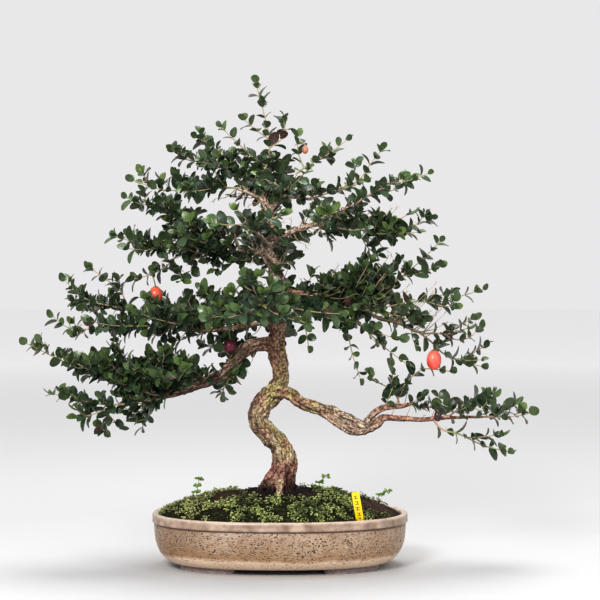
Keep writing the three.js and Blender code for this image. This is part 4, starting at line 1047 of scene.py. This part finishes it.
leaf = Paint("leathery_leaf", 0.34, 0.5)
tone = leaf.attribute("leaf_tone")
leaf_map = leaf.node("UVMap", uv_map="leaf_map")
off_middle = leaf.node("SeparateXYZ", "X", in_Vector=leaf_map)
off_middle = leaf.math("ABSOLUTE", leaf.plus(off_middle, -0.5))
leaf.color = leaf.mix(tone, (0.003, 0.011, 0.006), (0.050, 0.094, 0.042))
leaf.coat(leaf.blotches(0.006, 3, 0.4, 0.7, 0.35), (0.055, 0.092, 0.042))
leaf.coat(leaf.attribute("leaf_youth"), (0.16, 0.24, 0.045))
leaf.coat(leaf.times(leaf.attribute("leaf_under"), 0.7), (0.080, 0.115, 0.055))
leaf.coat(leaf.level(tone, 1.2, 1.8), (0.085, 0.045, 0.036))
leaf.coat(leaf.level(off_middle, 0.045, 0.012, 0, 0.5), (0.13, 0.18, 0.08))
slant = leaf.times(leaf.node("SeparateXYZ", "Y", in_Vector=leaf_map), 11.0)
slant = leaf.plus(slant, leaf.times(off_middle, -9.0))
veins = leaf.level(leaf.math("ABSOLUTE", leaf.plus(leaf.math("FRACT", slant), -0.5)), 0.08, 0.0)
ribs = leaf.plus(leaf.times(veins, 0.4), leaf.level(off_middle, 0.05, 0.0))
leaf_paint = leaf.wear(ribs, 0.00025, leaf.level(leaf.grain(0.012, 2), 0.3, 0.7, 0.19, 0.36))
shoot = Paint("shoot_skin", 0.6, 0.3)
shoot.color = shoot.mix(shoot.blotches(0.03, 3, 0.4, 0.62), (0.29, 0.30, 0.13), (0.46, 0.31, 0.24))
shoot.coat(shoot.blotches(0.003, 3, 0.5, 0.7, 0.5), (0.50, 0.40, 0.28))
shoot_paint = shoot.wear(shoot.grain(0.0015, 3), 0.0003)


def empty_leaves():
    """A shape with the leaf's UV map and face layers and nothing else."""
    shape = bmesh.new()
    shape.from_mesh(blades[0])
    bmesh.ops.delete(shape, geom=shape.verts, context="VERTS")
    return shape


def with_sticks(shape, lines):
    """Adds round rods along the lines, in the piece's second material."""
    sticks = tubes("sticks", lines, 1)
    sticks.polygons.foreach_set("material_index", [1] * len(sticks.polygons))
    shape.from_mesh(sticks)
    bpy.data.meshes.remove(sticks)


for number, (name, (fullness, limb, *stems)) in enumerate(bunches.items()):
    shape, lines, carrier = empty_leaves(), [], routes[limb]
    for k, (foot, *points) in enumerate(stems):
        route = Route([carrier.at(carrier.length * foot / foot_steps) / mm, *points])
        thick, bare = (1.4, 0.010) if k else (1.9, 0.016)
        leafy(shape, lines, route, thick, 100 * number + 41 * k, bare, fullness)
        carrier = carrier if k else route
    with_sticks(shape, lines)
    settle(name + "_shoots", shape, [leaf_paint, shoot_paint], "leaf", name, smooth=45)

# Short spurs: little leafy shoots and bare thorny ones all along the upper trunk and the limbs, grown
# from the old wood itself. Each row gives the limb, the stretch of it as shares of its length, the
# spacing, the shortest and longest in mm, the lean, and the share of them that has leaves.
spur_rows = [
    ("trunk", 0.5, 1.0, 9, 18, 50, (0, 0.8, 0.3), 0.74),
    ("leftLow", 0.48, 1.0, 6, 45, 85, (-0.4, 0, 1.3), 0.74),
    ("leftMid", 0.1, 1.0, 9, 20, 50, (0, 0, 0.3), 0.7),
    ("leftUp", 0.1, 1.0, 6, 25, 60, (0.1, 0, 0.3), 0.74),
    ("topLeft", 0.1, 1.0, 6, 25, 50, (0, 0, -0.2), 0.74),
    ("topRight", 0.2, 1.0, 12, 15, 35, (0, 0, 0.2), 0.74),
    ("rightUp", 0.1, 0.9, 12, 20, 44, (0, 0.2, -0.9), 0.6),
    ("rightUpFork", 0.2, 1.0, 13, 15, 35, (0, 0, -0.3), 0.74),
    ("rightMid", 0.15, 0.7, 12, 32, 75, (0.1, 0, 1.2), 0.6),
    ("rightMid", 0.5, 1.0, 18, 20, 40, (0, 0, 0.3), 0.6),
    ("front", 0.2, 1.0, 9, 18, 45, (0, 0, 0.3), 0.74),
    ("backLow", 0.2, 1.0, 9, 18, 45, (0, 0, 0.3), 0.74),
    ("backRight", 0.2, 1.0, 9, 18, 45, (0, 0, 0.3), 0.74),
    ("backUp", 0.1, 1.0, 9, 18, 45, (0, 0, 0.3), 0.74),
    ("topBack", 0.2, 1.0, 9, 18, 40, (0, 0, 0.3), 0.74),
    ("topFront", 0.2, 1.0, 18, 18, 40, (-0.4, 0, 0.3), 0.74),
    ("leftLow", 0.12, 0.4, 6, 28, 48, (0.2, 0.7, -1.3), 0.74),
    ("leftUp", 0.35, 0.7, 20, 30, 50, (0.3, 0, -1.1), 0.74),
    ("rightUp", 0.62, 1.0, 6, 30, 66, (0.2, 0.1, -1.0), 0.74),
    ("rightLow", 0.58, 0.95, 22, 20, 40, (0, 0, 0.9), 0.6),
    ("rightMid", 0.1, 0.42, 5, 30, 70, (0.2, -0.2, -1.1), 0.74),
    ("rightMid", 0.38, 0.62, 8, 70, 105, (0.1, 0.3, 1.3), 0.74),
    ("leftLow", 0.72, 1.0, 8, 35, 70, (-0.8, -0.5, 0.5), 0.74),
    ("trunk", 0.66, 1.0, 5, 10, 26, (0, -0.7, 0.2), 0.15),
    ("leftUp", 0.05, 0.45, 5, 10, 26, (0, -0.6, 0.3), 0.15),
    ("rightUp", 0.1, 0.5, 9, 10, 24, (0, -0.4, -0.3), 0.15),
    ("rightMid", 0.2, 1.0, 6, 40, 95, (0.5, -0.9, 0.6), 0.1),
    ("rightUp", 0.3, 1.0, 8, 30, 60, (0.7, -0.3, 0.6), 0.1),
    ("rightStrand", 0.5, 1.0, 16, 20, 50, (0, -0.1, 0.6), 0.3),
    ("leftUp", 0.3, 1.0, 7, 35, 70, (-0.7, -0.9, 0.3), 0.1),
    ("rightStrand", 0.92, 1.0, 4.6, 28, 44, (1.1, -0.3, 0.2), 1.0),
]
left_limbs = ("leftLow", "leftMid", "leftUp", "topLeft", "front", "topFront", "backLow")
spurs = {"left_spurs": (empty_leaves(), []), "right_spurs": (empty_leaves(), [])}
for number, (name, start, end, spacing, short, long, lean, leafy_share) in enumerate(spur_rows):
    shape, lines = spurs["left_spurs" if name in left_limbs else "right_spurs"]
    route = routes[name]
    walk = route.length * start
    while walk < route.length * end:
        seed = 9000 + 300 * number + int(walk / mm)
        heading, foot = route.heading(walk), route.at(walk)
        turned = Matrix.Rotation(full_turn * draw(seed, 1), 3, heading) @ heading.orthogonal().normalized()
        out = (turned + Vector(lean) + outward(foot) * 0.3).normalized()
        reach = (short + (long - short) * draw(seed, 2)) * mm
        bend = foot + (out + heading * 0.25).normalized() * reach * 0.55
        tip = bend + (out * 0.7 + heading * 0.35 + sky * 0.3).normalized() * reach * 0.45
        if room_for(tip):
            spur = Route([p / mm for p in (foot, bend, tip)])
            if draw(seed, 3) < leafy_share:
                leafy(shape, lines, spur, 1.1, seed, 0.008, 0.5 if reach > 0.045 else 0)
            else:
                lines.append(spur.rod(5, 1.1, 0.3))
                thorn(lines, tip, out, heading, 0.011)
        walk += spacing * (0.7 + 0.6 * draw(seed, 4)) * mm
for name, (shape, lines) in spurs.items():
    with_sticks(shape, lines)
    settle(name, shape, [leaf_paint, shoot_paint], "leaf", smooth=45)

# The fruits: plum-like berries with a waxy skin, coral to crimson, each on a short green stalk with
# a small calyx. Four hang in the crown and one lies close to the low limb. Each row gives the middle
# and the stalk's foot, radius and length in mm, the slot, and the dark and the light of its skin.
fruits = {
    "fruit_coral": ((268, -26, 363), (268, -9, 392), 13.2, 36, "ripe_skin",
                    (0.76, 0.085, 0.065), (0.84, 0.21, 0.15)),
    "fruit_red": ((-217, -10, 476), (-226, 9, 511), 12.5, 30, "ripe_skin",
                  (0.62, 0.06, 0.035), (0.75, 0.16, 0.09)),
    "fruit_crimson": ((-86, -50, 388), (-90, -60, 429), 11, 26, "dark_skin",
                      (0.055, 0.005, 0.012), (0.15, 0.012, 0.032)),
    "fruit_pink": ((44, -3, 729), (32.5, 12.8, 739.6), 5.5, 15, "ripe_skin",
                   (0.55, 0.12, 0.10), (0.42, 0.25, 0.12)),
    "fruit_dark": ((274, -40, 266), (275, -21, 261), 7, 19, "dark_skin",
                   (0.03, 0.012, 0.02), (0.09, 0.03, 0.035)),
}
calyx_points = 5
stalk_paint = two_toned("fruit_stalk", 0.55, 0.004, (0.12, 0.17, 0.05), (0.2, 0.16, 0.08)).wear()
for name, (centre, foot, radius, length, slot_name, dark, light) in fruits.items():
    middle, end = Vector(centre) * mm, Vector(foot) * mm
    shape = bmesh.new()
    bmesh.ops.create_uvsphere(shape, u_segments=28, v_segments=18, radius=1)
    for v in shape.verts:
        high = v.co.z
        girth = 1 + 0.02 * math.sin(5 * math.atan2(v.co.y, v.co.x)) * (1 - abs(high))
        girth *= radius * (0.97 - 0.06 * high)
        dimple = 0.07 * max(0.0, high - 0.8) / 0.2
        v.co = Vector((v.co.x * girth, v.co.y * girth, (high - dimple) * length / 2)) * mm + middle
    crown = middle + Vector((0, 0, length * 0.47 * mm))
    bend = (crown + end) / 2 + Vector((0, 0, 0.004))
    rods = [Route([p / mm for p in (crown, bend, end)]).rod(8, 1.3, 1.0)]
    for k in range(calyx_points):
        turn = 2 * math.pi * k / calyx_points
        out = Vector((math.cos(turn), math.sin(turn), 0))
        rods.append([(crown, 0.9), (crown + out * radius * 0.28 * mm - Vector((0, 0, 0.0002)), 0.7),
                     (crown + out * radius * 0.42 * mm - Vector((0, 0, radius * 0.09 * mm)), 0.15)])
    with_sticks(shape, rods)
    skin = Paint(name + "_skin", 0.3, 0.5)
    skin.color = skin.mix(skin.blotches(radius * mm, 3, 0.38, 0.66), dark, light)
    freckle = tuple(min(1, c * 1.5 + 0.05) for c in light)
    skin.coat(skin.level(skin.cells(0.0014), 0.3, 0.12, 0, 0.35), freckle)
    skin_paint = skin.wear(skin.grain(0.002, 2), 0.00015)
    settle(name + "_berry", shape, [skin_paint, stalk_paint], slot_name, name, smooth=60)

# The plant label: a strip of yellow plastic with rounded corners, pushed into the soil, with four
# rows of plain printed strokes down its front that spell nothing.
label_foot, label_top = Vector((143, -92, 62)) * mm, Vector((129, -99, 141)) * mm
label_wide, label_thick, label_long = 13.5 * mm, 1.2 * mm, (label_top - label_foot).length
stroke_rows, stroke_pitch, first_row = 4, 10, 9
label_shape = bmesh.new()
bmesh.ops.create_cube(label_shape, size=1)
bmesh.ops.scale(label_shape, verts=label_shape.verts, vec=(label_wide, label_thick, label_long))
corners = [e for e in label_shape.edges if abs(e.verts[0].co.y - e.verts[1].co.y) > 1e-4]
bevel = {"profile": 0.5, "affect": "EDGES", "material": -1}
bmesh.ops.bevel(label_shape, geom=corners, offset=3 * mm, segments=5, **bevel)
rims = [e for e in label_shape.edges if e.calc_face_angle(0) > 1]
bmesh.ops.bevel(label_shape, geom=rims, offset=0.2 * mm, segments=2, **bevel)
for row in range(stroke_rows):
    for across, up, wide, tall in ((0, 2.2, 6, 1.1), (0, -2.2, 6, 1.1), (-1.2 * (-1) ** row, 0, 1.2, 5)):
        down = first_row + stroke_pitch * row - up
        stroke = bmesh.ops.create_cube(label_shape, size=1)["verts"]
        bmesh.ops.scale(label_shape, verts=stroke, vec=(wide * mm, 0.1 * mm, tall * mm))
        middle = (across * mm, -0.62 * mm, label_long / 2 - down * mm)
        bmesh.ops.translate(label_shape, verts=stroke, vec=middle)
        for face in {f for v in stroke for f in v.link_faces}:
            face.material_index = 1
lean = sky.rotation_difference((label_top - label_foot).normalized()).to_matrix().to_4x4()
bmesh.ops.transform(label_shape, verts=label_shape.verts,
                    matrix=Matrix.Translation((label_top + label_foot) / 2) @ lean)
plastic = Paint("label_plastic", 0.38)
plastic.color = plastic.mix(plastic.blotches(0.012, 3, 0.4, 0.7), (0.95, 0.68, 0.012), (0.88, 0.58, 0.01))
ink_paint = two_toned("label_ink", 0.6, 0.004, (0.02, 0.016, 0.012), (0.05, 0.04, 0.03)).wear()
settle("label_strip", label_shape, [plastic.wear(), ink_paint], "label_plastic", "plant_label", smooth=30)

# The seedlings: three weeds that came up in the pot, pale thin stems with tiers of tiny round leaves.
# Each has the place of its foot in the soil, then a bend and a tip, and how many tiers of leaves.
seedlings = {"weed_left": ((-142, -62), (-143, -61, 134), (-140, -57, 158), 3),
             "weed_back": ((70, 74), (71, 73, 138), (80, 68, 148), 2),
             "weed_right": ((174, 44), (176, 44, 117), (190, 47, 124), 2)}
leaves_round = 9
sprout = Paint("seedling_leaf", 0.5, 0.35)
sprout.color = sprout.mix(sprout.attribute("leaf_tone"), (0.075, 0.15, 0.025), (0.20, 0.31, 0.055))
sprout_paint = sprout.wear(sprout.grain(0.002, 2), 0.0002)
stem_paint = two_toned("seedling_stem", 0.6, 0.01, (0.20, 0.19, 0.09), (0.36, 0.30, 0.16)).wear()
for number, (name, (foot, bend, tip, tiers)) in enumerate(seedlings.items()):
    low = ground(*foot)
    route = Route([(*foot, low - 4), (*foot, low + 5), bend, tip])
    shape, lines = empty_leaves(), [route.rod(12, 0.9, 0.5)]
    for tier in range(tiers):
        start = route.at(route.length * (0.55 + 0.45 * tier / (tiers - 1)))
        for k in range(leaves_round):
            turn = full_turn * (k + draw(number, tier)) / leaves_round
            out = Vector((math.cos(turn), math.sin(turn), -0.2 + 1.1 * draw(number + k, tier)))
            end = start + out.normalized() * (1 + 3.5 * draw(number + k, tier + 9)) * mm
            lines.append([(start, 0.35), (end, 0.25)])
            tilt = sky * 0.5 + scatter(number + k, tier, 0.9) + Vector((0, -0.9, 0))
            size = 0.19 + 0.10 * draw(number + k, tier + 5)
            hang_leaf(shape, end, out, tilt, size, draw(k, tier + number), 0, 0)
    with_sticks(shape, lines)
    settle(name + "_sprout", shape, [sprout_paint, stem_paint], "weed_leaf", name, smooth=45)
